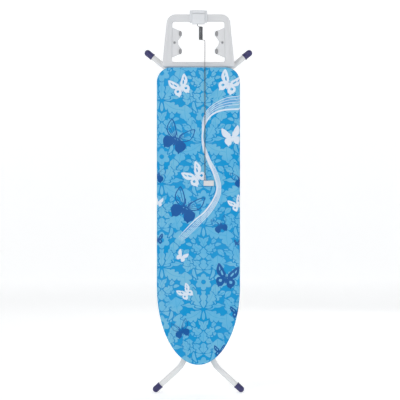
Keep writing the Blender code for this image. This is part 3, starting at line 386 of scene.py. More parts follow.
class Shader:
    """A node material on a Principled shader. Colours are sRGB values from 0 to 255."""

    def __init__(self, name, colour, roughness, **settings):
        self.material = bpy.data.materials.new(name)
        self.material.use_nodes = True
        self.nodes = self.material.node_tree.nodes
        self.links = self.material.node_tree.links
        self.main = next(node for node in self.nodes if node.type == "BSDF_PRINCIPLED")
        self.main.inputs["Base Color"].default_value = linear(colour)
        self.main.inputs["Roughness"].default_value = roughness
        for key, value in settings.items():
            self.main.inputs[key.replace("_", " ")].default_value = value
        self.place = self.add("ShaderNodeTexCoord").outputs["Object"]

    def add(self, kind, inputs=(), **settings):
        node = self.nodes.new(kind)
        for key, value in settings.items():
            setattr(node, key, value)
        for key, value in dict(inputs).items():
            self.feed(node.inputs[key], value)
        return node

    def feed(self, socket, value):
        if isinstance(value, bpy.types.NodeSocket):
            self.links.new(value, socket)
        else:
            socket.default_value = value

    def set(self, name, value):
        self.feed(self.main.inputs[name], value)

    def stretched(self, scale):
        return self.add("ShaderNodeMapping", {"Vector": self.place, "Scale": scale}).outputs["Vector"]

    def noise(self, scale, detail=3.0, vector=None, roughness=0.55):
        return self.add("ShaderNodeTexNoise", {"Vector": vector or self.place, "Scale": scale,
                                               "Detail": detail, "Roughness": roughness}).outputs["Fac"]

    def cells(self, scale, vector=None):
        return self.add("ShaderNodeTexVoronoi", {"Vector": vector or self.place,
                                                 "Scale": scale}).outputs["Distance"]

    def wave(self, scale, direction):
        return self.add("ShaderNodeTexWave", {"Vector": self.place, "Scale": scale},
                        bands_direction=direction, wave_profile="SIN").outputs["Fac"]

    def math(self, operation, first, second=0.0):
        return self.add("ShaderNodeMath", {0: first, 1: second}, operation=operation).outputs[0]

    def span(self, value, low, high, start=0.0, end=1.0):
        """value from low..high mapped on start..end, held within them."""
        return self.add("ShaderNodeMapRange", {"Value": value, "From Min": low, "From Max": high,
                                               "To Min": start, "To Max": end}).outputs["Result"]

    def mix(self, share, first, second):
        """From the first colour to the second; each is a socket or an sRGB colour."""
        node = self.add("ShaderNodeMix", {"Factor": share}, data_type="RGBA")
        for key, colour in (("A", first), ("B", second)):
            socket = isinstance(colour, bpy.types.NodeSocket)
            self.feed(node.inputs[key], colour if socket else linear(colour))
        return node.outputs["Result"]

    def attribute(self, name):
        return self.add("ShaderNodeAttribute", attribute_name=name).outputs["Fac"]

    def times(self, first, second):
        return self.math("MULTIPLY", first, second)

    def tint(self, share, colour, shade):
        self.set("Base Color", self.mix(share, colour, shade))

    def bump(self, height, distance, strength=1.0, normal=None):
        node = self.add("ShaderNodeBump", {"Height": height, "Distance": distance, "Strength": strength})
        if normal:
            self.feed(node.inputs["Normal"], normal)
        self.set("Normal", node.outputs["Normal"])
        return node.outputs["Normal"]


def linear(colour):
    """An sRGB colour of 0 to 255 as a linear one with alpha."""
    channels = [value / 255 for value in colour[:3]]
    return (*(c / 12.92 if c <= 0.04045 else ((c + 0.055) / 1.055) ** 2.4 for c in channels), 1.0)


def painted(name, colour, shade, roughness=0.34):
    """Powder coat: a fine orange peel, with slight soiling in large patches."""
    shader = Shader(name, colour, roughness, Coat_Weight=0.15, Coat_Roughness=0.25)
    patches = shader.span(shader.noise(7.0, 4.0), 0.42, 0.72)
    shader.tint(patches, colour, shade)
    gloss = shader.noise(60.0, 4.0)
    shader.set("Roughness", shader.span(gloss, 0.3, 0.7, roughness - 0.06, roughness + 0.10))
    shader.bump(shader.noise(900.0, 2.0), 0.00012, 0.5)
    return shader.material


def moulded(name, colour, shade, roughness=0.42, grain=1400.0, depth=0.00010):
    """Moulded plastic: spark-eroded grain, faint flow marks and rubbed, shinier patches."""
    shader = Shader(name, colour, roughness, IOR=1.49)
    flow = shader.span(shader.noise(9.0, 5.0, shader.stretched((1.0, 1.0, 0.35))), 0.35, 0.75)
    shader.tint(flow, colour, shade)
    rubbed = shader.noise(34.0, 5.0)
    shader.set("Roughness", shader.span(rubbed, 0.3, 0.75, roughness - 0.08, roughness + 0.12))
    fine = shader.bump(shader.cells(grain), depth, 0.35)
    shader.bump(shader.noise(45.0, 2.0), 0.00025, 0.25, fine)
    return shader.material


def plated(name, colour, shade, roughness=0.34, streak=(1.0, 1.0, 0.06)):
    """Plated or drawn steel: streaks along the metal, cloudy tone and fine scratches."""
    shader = Shader(name, colour, roughness, Metallic=1.0)
    streaks = shader.noise(420.0, 4.0, shader.stretched(streak))
    clouds = shader.span(shader.noise(26.0, 5.0), 0.35, 0.7)
    shader.tint(clouds, colour, shade)
    shader.set("Roughness", shader.span(streaks, 0.3, 0.7, roughness - 0.08, roughness + 0.14))
    shader.bump(streaks, 0.00006, 0.5)
    return shader.material


def rubber(name, colour, shade, roughness=0.55):
    """Rubber or silicone: matt, with fine pits and a dusting of lighter wear."""
    shader = Shader(name, colour, roughness, Sheen_Weight=0.12, Sheen_Roughness=0.4)
    dust = shader.span(shader.noise(55.0, 6.0, roughness=0.7), 0.48, 0.78)
    shader.tint(dust, colour, shade)
    shader.set("Roughness", shader.span(dust, 0.0, 1.0, roughness - 0.05, roughness + 0.15))
    shader.bump(shader.cells(1900.0), 0.00012, 0.4)
    return shader.material


def felt(name):
    shader = Shader(name, (226, 225, 216), 0.95, Sheen_Weight=0.5, Sheen_Roughness=0.6)
    fibres = shader.noise(520.0, 6.0, shader.stretched((1.0, 1.0, 0.4)), 0.7)
    flecks = shader.span(shader.noise(160.0, 5.0), 0.55, 0.72)
    shader.tint(flecks, (229, 228, 220), (176, 178, 176))
    shader.bump(fibres, 0.0007, 0.8)
    return shader.material


def printed_cotton(name):
    """The cover: ground colour, damask, butterflies and ribbon lines, printed on a plain weave.
    The print's shapes come from the mesh as signed distances in millimetres."""
    shader = Shader(name, PALETTE["ground"], 0.82, Sheen_Weight=0.05, Sheen_Roughness=0.5,
                    Specular_IOR_Level=0.15)

    def inside(attribute, edge=0.0, soft=0.22):
        """1 where a signed distance is below edge."""
        return shader.span(attribute, edge + soft, edge - soft)

    def line(distance, half):
        return inside(shader.math("ABSOLUTE", distance), half)

    leaf = shader.attribute("print_leaf")
    bleed = shader.span(shader.noise(300.0, 3.0), 0.35, 0.65, -0.25, 0.25)
    leaf = shader.math("ADD", leaf, bleed)
    tone = shader.span(shader.noise(14.0, 2.0), 0.40, 0.62)
    colour = shader.mix(inside(leaf), PALETTE["ground"], shader.mix(tone, PALETTE["leaf"], (106, 174, 206)))
    colour = shader.mix(shader.times(line(shader.attribute("print_vein"), 0.55), inside(leaf, -1.0)),
                   colour, PALETTE["vein"])
    colour = shader.mix(shader.times(line(shader.math("ADD", leaf, -0.55), 0.30), 0.55), colour,
                   PALETTE["edge"])
    ribbon_a, ribbon_b = shader.attribute("ribbon_a"), shader.attribute("ribbon_b")
    run = shader.attribute("ribbon_run")
    present = shader.times(shader.span(run, 0.0, 0.02), shader.span(run, 1.0, 0.98))
    between = shader.times(ribbon_a, ribbon_b)
    veil = shader.times(shader.math("LESS_THAN", between, 0.0), present)
    veil = shader.times(veil, 0.16)
    colour = shader.mix(veil, colour, PALETTE["white"])
    for share, half in RIBBON_LINES:
        distance = shader.math("ADD", shader.times(ribbon_a, 1.0 - share),
                               shader.times(ribbon_b, share))
        taper = shader.span(run, 0.78, 1.0, half, 0.25)
        stroke = shader.span(shader.math("SUBTRACT", shader.math("ABSOLUTE", distance), taper), 0.25, -0.25)
        colour = shader.mix(shader.times(stroke, present), colour, PALETTE["white"])
    colour = shader.mix(shader.times(inside(shader.attribute("print_cell")), 0.75), colour,
                   PALETTE["cell"])
    colour = shader.mix(inside(shader.attribute("print_dark")), colour, PALETTE["dark"])
    colour = shader.mix(inside(shader.attribute("print_white")), colour, PALETTE["white"])
    fade = shader.span(shader.noise(5.0, 3.0), 0.4, 0.7, 0.0, 0.03)
    shader.tint(fade, colour, (214, 232, 242))
    weave = shader.math("ADD", shader.wave(1450.0, "X"), shader.wave(1450.0, "Z"))
    slub = shader.noise(240.0, 4.0, shader.stretched((1.0, 1.0, 0.25)))
    shader.set("Roughness", shader.span(slub, 0.3, 0.7, 0.74, 0.90))
    fine = shader.bump(weave, 0.00010, 0.35)
    shader.bump(slub, 0.00030, 0.35, fine)
    return shader.material


# --- print ---------------------------------------------------------------------------------------

def blade(u, v, base, tip, half, lobes=0, bend=0.0):
    """Rough signed distance to a leaf, negative inside. Its lobes point forwards and bend curves it.
    Also gives the distance from its midrib."""
    axis = np.array(tip, float) - np.array(base, float)
    length = math.hypot(*axis)
    axis /= length
    along = (u - base[0]) * axis[0] + (v - base[1]) * axis[1]
    across = (v - base[1]) * axis[0] - (u - base[0]) * axis[1]
    share = np.clip(along / length, 0.0, 1.0)
    across = across - bend * length * np.sin(math.pi * share)
    width = half * np.sin(math.pi * share ** 0.75) ** 0.8
    if lobes:
        slant = np.clip(share - 0.45 * np.abs(across) / length, 0.0, 1.0)
        width = width * (0.52 + 0.60 * np.abs(np.sin(math.pi * (lobes + 0.5) * slant)) ** 0.8)
    return np.maximum(0.8 * (np.abs(across) - width), np.maximum(-along, along - length)), across


def shape_field(u, v, corners, size):
    """Signed distance to a closed smooth shape through corner points given as shares of a size."""
    closed = list(corners) + [corners[0]]
    path = smooth_path(closed, steps=5) * size
    distance = np.full(len(u), 1e9)
    inside = np.zeros(len(u), bool)
    for (ax, az), (bx, bz) in zip(path, path[1:]):
        dx, dz = bx - ax, bz - az
        share = np.clip(((u - ax) * dx + (v - az) * dz) / (dx * dx + dz * dz + 1e-12), 0.0, 1.0)
        distance = np.minimum(distance, np.hypot(u - ax - share * dx, v - az - share * dz))
        crosses = (az > v) != (bz > v)
        inside ^= crosses & (u < ax + (v - az) * dx / (dz if dz else 1e-12))
    return np.where(inside, -distance, distance)


def lay_over(field, new, gap):
    """Lays a new shape over the others, with a line of ground colour round it."""
    return np.minimum(np.maximum(field, gap - new), new)


def motif(u, v):
    """One motif's leaf and vein fields, all in millimetres."""
    leaf, vein = np.full(len(u), FAR), np.full(len(u), FAR)
    gap = LEAF_GAP / MM
    w = np.abs(u)
    for base, tip, half, lobes, bend in LEAVES:
        shape, rib = blade(w, v, base, tip, half, lobes, bend)
        leaf = lay_over(leaf, shape, gap)
        if lobes:
            vein = np.where(shape < 0, rib, vein)
    height, radius = STAR
    angle = np.arctan2(v - height, w)
    reach = np.hypot(w, v - height)
    petals = reach - radius * (0.66 + 0.34 * np.abs(np.cos(3 * (angle - math.pi / 2))))
    leaf = lay_over(leaf, np.maximum(petals, 0.28 * radius - reach), gap)
    return leaf, vein


def butterfly(u, v, size, kind, fields, near):
    """Draws one butterfly, heading along +v, on the fields, all in millimetres."""
    w = np.abs(u)
    fore, hind = shape_field(w, v, FOREWING, size), shape_field(w, v, HINDWING, size)
    trunk = blade(w, v, (0, -0.34 * size), (0, 0.26 * size), 0.05 * size)[0]
    feeler = blade(w, v, (0.01 * size, 0.22 * size), (0.17 * size, 0.60 * size), 0.022 * size, bend=-0.1)[0]
    body = np.minimum(trunk, feeler)
    windows = np.minimum.reduce([shape_field(w, v, window, size) for window in WINDOWS])
    edge = max(1.0, 0.026 * size)
    outline_only = np.abs(fore + edge) - edge
    veins = np.minimum.reduce([np.abs(signed_to_path(w, v, np.array(vein) * size, False)[0])
                               for vein in WING_VEINS]) - 0.6 * edge
    wings = np.minimum(fore, hind)
    if kind == "dark":
        drawn = np.minimum(np.minimum(outline_only, np.maximum(veins, fore)), np.minimum(hind, body))
    elif kind == "solid":
        drawn = np.minimum(wings, body)
    else:
        drawn = np.minimum(np.maximum(wings, -windows), body)
    ink = "dark" if kind in ("dark", "night") else "white"
    fields[ink][near] = np.minimum(fields[ink][near], drawn)
    if kind == "night":
        fields["cell"][near] = np.minimum(fields["cell"][near], windows)


def smooth_path(points, steps=12):
    """A Catmull-Rom curve through points, as an array."""
    ends = [2 * np.array(points[0]) - np.array(points[1]), *map(np.array, points),
            2 * np.array(points[-1]) - np.array(points[-2])]
    path = []
    for a, b, c, d in zip(ends, ends[1:], ends[2:], ends[3:]):
        for step in range(steps):
            t = step / steps
            path.append(0.5 * (2 * b + (c - a) * t + (2 * a - 5 * b + 4 * c - d) * t ** 2
                               + (3 * b - a - 3 * c + d) * t ** 3))
    path.append(ends[-2])
    return np.array(path)


def signed_to_path(x, z, path, endless=True):
    """Signed distance to an open curve, which may go on straight past its ends, and the share of
    its length that is nearest."""
    best = np.full(len(x), 1e9)
    signed, share = np.zeros(len(x)), np.zeros(len(x))
    count = len(path) - 1
    for i in range(count):
        (ax, az), (bx, bz) = path[i], path[i + 1]
        dx, dz = bx - ax, bz - az
        length = math.hypot(dx, dz)
        t = ((x - ax) * dx + (z - az) * dz) / length ** 2
        low = -9.0 if endless and i == 0 else 0.0
        high = 9.0 if endless and i == count - 1 else 1.0
        held = np.clip(t, low, high)
        distance = np.hypot(x - ax - held * dx, z - az - held * dz)
        side = np.sign((x - ax) * dz - (z - az) * dx)
        near = distance < best
        best = np.where(near, distance, best)
        signed = np.where(near, distance * side, signed)
        share = np.where(near, (i + held) / count, share)
    return signed, share


def print_fields(x, z):
    """Every field of the print at flat places on the cloth, in millimetres."""
    far = np.full(len(x), FAR)
    leaf, vein = far.copy(), far.copy()
    for column in (-1, 0, 1):
        for row in range(-1, 4):
            across = MOTIF[0] + column * REPEAT / 2
            up = MOTIF[1] + (row + 0.5 * (column % 2)) * REPEAT
            u, v = (x - across) / MM, (z - up) / MM
            near = (np.abs(u) < MOTIF_REACH[0]) & (v > MOTIF_REACH[1]) & (v < MOTIF_REACH[2])
            piece, rib = motif(u[near], v[near])
            rib = np.where(piece < 0, rib, FAR)
            vein[near] = np.where(np.abs(rib) < np.abs(vein[near]), rib, vein[near])
            leaf[near] = lay_over(leaf[near], piece, 0.8 * LEAF_GAP / MM)
    fields = {"white": far.copy(), "dark": far.copy(), "cell": far.copy()}
    for across, up, size, heading, kind in BUTTERFLIES:
        turn = math.radians(heading - 90)
        dx, dz = (x - across) / MM, (z - up) / MM
        u = dx * math.cos(turn) + dz * math.sin(turn)
        v = dz * math.cos(turn) - dx * math.sin(turn)
        near = np.hypot(u, v) < 1.6 * size / MM
        if near.any():
            butterfly(u[near], v[near], size / MM, kind, fields, near)
    ribbon_a, run = signed_to_path(x, z, smooth_path(RIBBON_A))
    ribbon_b, _ = signed_to_path(x, z, smooth_path(RIBBON_B))
    return {"print_leaf": leaf, "print_vein": vein, "print_white": fields["white"],
            "print_dark": fields["dark"], "print_cell": fields["cell"],
            "ribbon_a": ribbon_a / MM, "ribbon_b": ribbon_b / MM, "ribbon_run": run}


def add_print(mesh, across, up):
    """Stores the print's fields on a mesh's points, which lie flat at (across, up)."""
    for name, values in print_fields(across, up).items():
        attribute = mesh.attributes.new(name, "FLOAT", "POINT")
        attribute.data.foreach_set("value", values.astype(np.float32))


# --- board, pad and cover ------------------------------------------------------------------------

def outline(inset, step=CLOTH_STEP):
    """The board's plan as an array of (x, z), with the same count for every inset."""
    half = HALF_WIDTH - inset
    corner = REAR_CORNER * half / HALF_WIDTH
    nose = NOSE_LENGTH - inset
    nose_count = round(0.36 / step)
    corner_count = max(4, round(0.086 / step))
    side_count = round((REAR_Z - NOSE_Z - NOSE_LENGTH - REAR_CORNER) / step)
    top_count = round((HALF_WIDTH - REAR_CORNER) / step)
    top = REAR_Z - inset
    right = [(half * math.sin(a), NOSE_Z + NOSE_LENGTH - nose * math.cos(a))
             for a in np.linspace(0, math.pi / 2, nose_count, endpoint=False)]
    right += [(half, z) for z in np.linspace(NOSE_Z + NOSE_LENGTH, top - corner, side_count, endpoint=False)]
    right += [(half - corner + corner * math.cos(a), top - corner + corner * math.sin(a))
              for a in np.linspace(0, math.pi / 2, corner_count, endpoint=False)]
    right += [(x, top) for x in np.linspace(half - corner, 0, top_count + 1)]
    left = [(-x, z) for x, z in right[-2:0:-1]]
    return np.array(right + left)


def gathers(points):
    """Soft waves round the cover's edge, from -1 to 1: long ones with shorter ones on them."""
    steps = np.hypot(*(np.roll(points, -1, axis=0) - points).T)
    place = np.concatenate(([0.0], np.cumsum(steps)[:-1])) * math.tau / steps.sum()
    draw = random.Random(4)
    waves = np.zeros(len(points))
    for count, share in ((61, 0.35), (97, 0.45), (149, 0.5), (211, 0.35), (263, 0.2)):
        waves += share * np.sin(count * place + draw.uniform(0, math.tau)
                                + 1.4 * np.sin(7 * place + draw.uniform(0, math.tau)))
    return waves / 1.3


def closing_faces(start, count):
    """Closes a ring that has shrunk to a slot, joining each point to its mirror image."""
    faces = []
    half = count // 2
    for i in range(half):
        a, b = start + i, start + i + 1
        c, d = start + (count - i - 1) % count, start + (count - i) % count
        faces.append((a, b, c, d) if len({a, b, c, d}) == 4 else tuple(dict.fromkeys((a, b, c, d))))
    return [face for face in faces if len(face) > 2]


def ring_slab(profile, step):
    """A closed slab from rings (inset, depth), the first and last shrunk to a slot."""
    vertices = []
    for inset, depth in profile:
        plan = outline(inset, step)
        vertices += [(x, at_depth(depth), z) for x, z in plan]
    count = len(plan)
    faces = ring_faces(len(profile), count) + closing_faces(0, count)
    faces += closing_faces((len(profile) - 1) * count, count)
    return mesh_from(vertices, faces)


def make_pad():
    """The felt pad under the cover: swelled by a short cloth simulation, its back held on the mesh."""
    edge, front = PAD_INSET, PAD_FRONT + 0.0006
    flat = [HALF_WIDTH - 0.002, 0.12, 0.08, 0.05, 0.02]
    profile = [(inset, front) for inset in flat]
    profile += [(edge + 0.0040, front), (edge + 0.0012, front + 0.0012), (edge, front + 0.0035),
                (edge, -0.0012), (edge + 0.0008, PAD_BACK)]
    profile += [(inset, PAD_BACK) for inset in reversed(flat)]
    mesh = ring_slab(profile, 0.012)
    mesh = swollen(mesh)
    pad = new_piece("felt_pad", mesh, "foam", "board", "foam_pad")
    return pad


def point_array(mesh):
    """The mesh's points as rows of x, y and z."""
    flat = np.zeros(len(mesh.vertices) * 3)
    mesh.vertices.foreach_get("co", flat)
    return flat.reshape(-1, 3)


def swollen(mesh):
    """Remeshes the pad and swells it with the cloth solver, its back pinned, within PAD_LIMIT."""
    scene = bpy.context.scene
    mesh = with_modifiers(mesh, ("REMESH", {"mode": "VOXEL", "voxel_size": PAD_VOXEL}))
    rest = point_array(mesh)
    pad = linked("swelling", mesh)
    pinned = pad.vertex_groups.new(name="pinned")
    pinned.add([int(i) for i in np.nonzero(rest[:, 1] > at_depth(PAD_HELD_DEPTH))[0]], 1.0, "ADD")
    cloth = pad.modifiers.new("Swell", "CLOTH")
    settings = cloth.settings
    settings.use_pressure = True
    settings.uniform_pressure_force = PAD_PRESSURE
    settings.tension_stiffness = settings.compression_stiffness = PAD_STIFFNESS
    settings.bending_stiffness = PAD_BENDING
    settings.effector_weights.gravity = 0.0
    settings.vertex_group_mass = "pinned"
    settings.quality = 6
    cloth.point_cache.frame_start = 1
    cloth.point_cache.frame_end = PAD_FRAMES
    for frame_number in range(1, PAD_FRAMES + 1):
        scene.frame_set(frame_number)
    result = evaluated(pad)
    scene.frame_set(1)
    shift = point_array(result) - rest
    length = np.linalg.norm(shift, axis=1)
    shift *= (np.minimum(length, PAD_LIMIT) / np.maximum(length, 1e-9))[:, None]
    result.vertices.foreach_set("co", (rest + shift).ravel())
    return result


def pad_depths(pad, plan):
    """How far in front of its plan the pad's surface stands at each (x, z)."""
    tree = BVHTree.FromObject(pad, bpy.context.evaluated_depsgraph_get())
    depths = []
    for x, z in plan:
        hit = tree.ray_cast(Vector((x, at_depth(-0.05), z)), Vector((0, 1, 0)))[0]
        depths.append(at_depth(PAD_FRONT) - hit.y if hit else 0.0)
    return np.array(depths)


def cover_rows():
    """The cover's rings from the hem inwards as (inset, depth, share of the waves), and the index of
    the ring where the flat front begins."""
    fold, side_top = COVER_BACK - 0.0016, COVER_FRONT + FRONT_ROUNDING
    rows = [(HEM_WIDTH * (1 - t), COVER_BACK, 1.0 - 0.35 * t)
            for t in (0, 0.15, 0.3, 0.45, 0.6, 0.75, 0.88)]
    rows += [(0.0006, COVER_BACK - 0.0003, 0.5), (0.0, fold, 0.4)]
    rows += [(0.0, side_top + (fold - side_top) * t, 0.30 * t + 0.05) for t in (0.8, 0.6, 0.4, 0.2)]
    rows += [(FRONT_ROUNDING * (1 - math.cos(a)), COVER_FRONT + FRONT_ROUNDING * (1 - math.sin(a)),
              0.03) for a in np.linspace(0, math.pi / 2, 6)]
    inner = np.arange(FRONT_ROUNDING + CLOTH_STEP, HALF_WIDTH - 0.001, CLOTH_STEP)
    return rows + [(inset, COVER_FRONT, 0.0) for inset in inner], len(rows) - 1


def cloth_reach(rows, edge_row):
    """How much cloth lies between each outer ring and the ring where the flat front begins."""
    reach = [0.0] * (edge_row + 1)
    for index in range(edge_row - 1, -1, -1):
        (inset, depth, _), (last_inset, last_depth, _) = rows[index], rows[index + 1]
        reach[index] = reach[index + 1] + math.hypot(inset - last_inset, depth - last_depth)
    return reach


def make_cover(pad):
    """Printed cloth stretched over the pad and turned in behind it, where it is gathered."""
    rows, edge_row = cover_rows()
    reach = cloth_reach(rows, edge_row)
    plans = [outline(inset) for inset, _, _ in rows]
    base = outline(0.0)
    waves = gathers(base)
    outward = (np.roll(base, -1, axis=0) - np.roll(base, 1, axis=0))[:, ::-1] * (1, -1)
    outward /= np.linalg.norm(outward, axis=1)[:, None]
    swell = pad_depths(pad, [point for plan in plans[edge_row:] for point in plan]).reshape(-1, len(base))
    vertices, flat = [], []
    for index, (inset, depth, share) in enumerate(rows):
        plan = plans[index]
        wave = waves * share * HEM_WAVE
        y = np.full(len(base), at_depth(depth))
        if index >= edge_row:
            grow = np.clip((inset - FRONT_ROUNDING) / 0.010, 0.0, 1.0)
            y -= np.maximum(swell[index - edge_row], 0.0) * grow
            flat.append(plan)
        else:
            flat.append(plans[edge_row] + outward * reach[index])
            if depth > COVER_BACK - 0.001:
                y += wave
            else:
                plan = plan + outward * (wave[:, None] * 0.7 - 0.0002)
        vertices.append(np.column_stack((plan[:, 0], y, plan[:, 1])))
    faces = ring_faces(len(rows), len(base)) + closing_faces((len(rows) - 1) * len(base), len(base))
    mesh = mesh_from(np.concatenate(vertices), faces)
    add_print(mesh, *np.concatenate(flat).T)
    cover = new_piece("printed_cover", mesh, "cover_cloth", "board", "cover")
    make_casing(waves)


def make_casing(waves):
    """The gathered channel at the hem's inner edge, standing in for the elastic inside it."""
    plan = outline(HEM_WIDTH + 0.0016)
    path = [(x, at_depth(COVER_BACK + 0.0001) + 0.0009 * wave, z) for (x, z), wave in zip(plan, waves)]
    radii = [0.0026 + 0.0005 * wave for wave in waves]
    mesh = tube(path, radii, 8, closed=True)
    add_print(mesh, *point_array(mesh).T[[0, 2]])
    return new_piece("hem_casing", mesh, "cover_cloth", "board", "hem_elastic")


def make_mesh_panel():
    """Expanded metal: a lattice of diamonds inside a flat border."""
    wide, tall = MESH_CELL
    columns = int(HALF_WIDTH / wide) + 1
    points, faces = [], []
    for row in range(int((REAR_Z - NOSE_Z) / tall * 2)):
        for column in range(-columns, columns + 1):
            x = (column + 0.5 * (row % 2)) * wide
            z = NOSE_Z + row * tall / 2
            if inside_outline(abs(x) + wide / 2, z, MESH_MARGIN):
                start = len(points)
                for scale in (1.0, MESH_STRAND):
                    for across, up in ((wide, 0), (0, tall), (-wide, 0), (0, -tall)):
                        points.append((x + scale * across / 2, at_depth(0.0001), z + scale * up / 2))
                faces += [tuple(start + i for i in face) for face in ring_faces(2, 4)]
    lattice = with_modifiers(mesh_from(points, faces, merge=1e-5),
                             ("SOLIDIFY", {"thickness": MESH_THICKNESS, "offset": 0.0}))
    moved(lattice, (0, 0.0006, 0))
    rings = [outline(inset, 0.006) for inset in BORDER_INSETS]
    corners = [(0, 0.0), (1, 0.0), (1, BORDER_THICKNESS), (0, BORDER_THICKNESS)]
    points = [(x, at_depth(depth), z) for ring, depth in corners for x, z in rings[ring]]
    border = mesh_from(points, ring_faces(4, len(rings[0]), closed=True))
    new_piece("mesh_panel", joined([lattice, border]), "painted_steel", "board", "board_mesh", smooth=False)


def inside_outline(x, z, margin):
    half, nose = HALF_WIDTH - margin, NOSE_LENGTH - margin
    centre = NOSE_Z + NOSE_LENGTH
    if z < centre:
        return (x / half) ** 2 + ((z - centre) / nose) ** 2 < 1
    corner = REAR_CORNER - margin
    over_x, over_z = x - (half - corner), z - (REAR_Z - margin - corner)
    if over_x > 0 and over_z > 0:
        return math.hypot(over_x, over_z) < corner
    return x < half and z < REAR_Z - margin


# --- iron rest and cord holder -------------------------------------------------------------------

def lobe_corners(grow=0.0):
    """The right side's lobes; grow makes them smaller all round when negative."""
    root, tip = LOBE_ROOT + grow, LOBE_TIP - grow
    corners = [(root, 1.3602 + grow, 0), (tip, 1.3405 + grow, 0.010), (tip, 1.3265 - grow, 0.008),
               (0.0812 - grow, 1.3001, 0.020), (tip, 1.2742 + grow, 0.008), (tip, 1.2602 - grow, 0.010),
               (root, 1.2413 - grow, 0)]
    return rounded(corners[::-1])


def rest_outline(inset):
    """The outside of the rest, drawn in by a distance."""
    lean = (REST_BOTTOM_HALF - REST_TOP_HALF) / (REST_TOP_Z - REST_BOTTOM_Z)
    top, bottom = REST_TOP_Z - inset, REST_BOTTOM_Z + inset
    x_top = REST_TOP_HALF + lean * inset - inset
    x_bottom = REST_BOTTOM_HALF - lean * inset - inset
    return rounded(mirrored([(x_top, top, 0.034 - inset), (x_bottom, bottom, 0.008)]), 12)


def rest_opening(grow=0.0):
    return rounded(mirrored([(OPENING_TOP_HALF + grow, BAR_BOTTOM_Z + grow, 0.008),
                             (OPENING_BOTTOM_HALF + grow, REST_BAR_Z - grow, 0.006)]), 8)


def make_rest():
    """The moulded frame: a rounded rim with two raised lines and lobes with lips."""
    parts = [plate([rest_outline(0.0), rest_opening()], REST_FRONT + 0.0004, REST_BACK, 0.0032)]
    for side in SIDES.values():
        lip = [lobe_corners(), lobe_corners(-0.0022)]
        for loops, front, back, rounding in (([lobe_corners()], LOBE_FRONT, LOBE_BACK, 0.0012),
                                             (lip, LOBE_FRONT - 0.0007, LOBE_FRONT + 0.0012, 0.0004)):
            lobe = plate(loops, front, back, rounding)
            lobe.transform(Matrix.Diagonal((side, 1, 1, 1)))
            if side < 0:
                lobe.flip_normals()
            parts.append(lobe)
    for inset, wide in ((0.0075, 0.0016), (0.0125, 0.0012)):
        line = rest_outline(inset), rest_outline(inset + wide)
        parts.append(plate(line, REST_FRONT - 0.0002, REST_FRONT + 0.0014, 0.0004))
    line = rest_opening(0.0040), rest_opening(0.0020)
    parts.append(plate(line, REST_FRONT - 0.0001, REST_FRONT + 0.0014, 0.0003))
    new_piece("rest_frame", joined(parts), "white_plastic", "board", "iron_rest_frame")
    for word, side in SIDES.items():
        for level, z in SOFT_PAD_HEIGHTS.items():
            name = f"rest_pad_{level}_{word}"
            new_piece(f"soft_{name}", rest_pad(side * SOFT_PAD_X, z), "grey_rubber", "board", name)
        head = moved(screw_head(SCREW_RADIUS, SCREW_HEIGHT),
                     (side * SCREW_X, at_depth(LOBE_FRONT - GAP), SCREW_Z), TURN_FRONT)
        new_piece(f"rest_screw_head_{word}", head, "zinc_plate", "board", f"rest_screw_{word}",
                  material="dull_steel")


def rest_pad(x, z):
    """A domed oval silicone pad with a rim round it."""
    profile = [(0, 0.0034), (0.45, 0.0033), (0.72, 0.0029), (0.80, 0.0022), (0.86, 0.0026), (0.96, 0.0022),
               (1.0, 0.0010), (1.0, -0.0006), (0, -0.0006)]
    mesh = turned(profile, 40)
    mesh.transform(Matrix.Diagonal((*SOFT_PAD_HALVES, 1.0, 1.0)))
    return moved(mesh, (x, at_depth(LOBE_FRONT), z), TURN_FRONT)


def screw_head(radius, height):
    """A pan head about Z with a cross recess."""
    profile = dome(radius, height, 0.25 * height)
    guide = linked("head", turned(profile + [(radius, -0.0004), (0, -0.0004)], 28))
    cutters = []
    for angle in (0.4, 0.4 + math.pi / 2):
        bar = rounded_box((radius * 1.15, radius * 0.24, height * 1.3), (0, 0, 0), radius * 0.05, 1)
        bar.transform(Matrix.Translation((0, 0, height)) @ Matrix.Rotation(angle, 4, "Z"))
        cutters.append(linked("bar", bar))
        guide.modifiers.new("Recess", "BOOLEAN").object = cutters[-1]
    bpy.context.view_layer.update()
    mesh = evaluated(guide)
    for cutter in cutters:
        bpy.data.objects.remove(cutter, do_unlink=True)
    return mesh


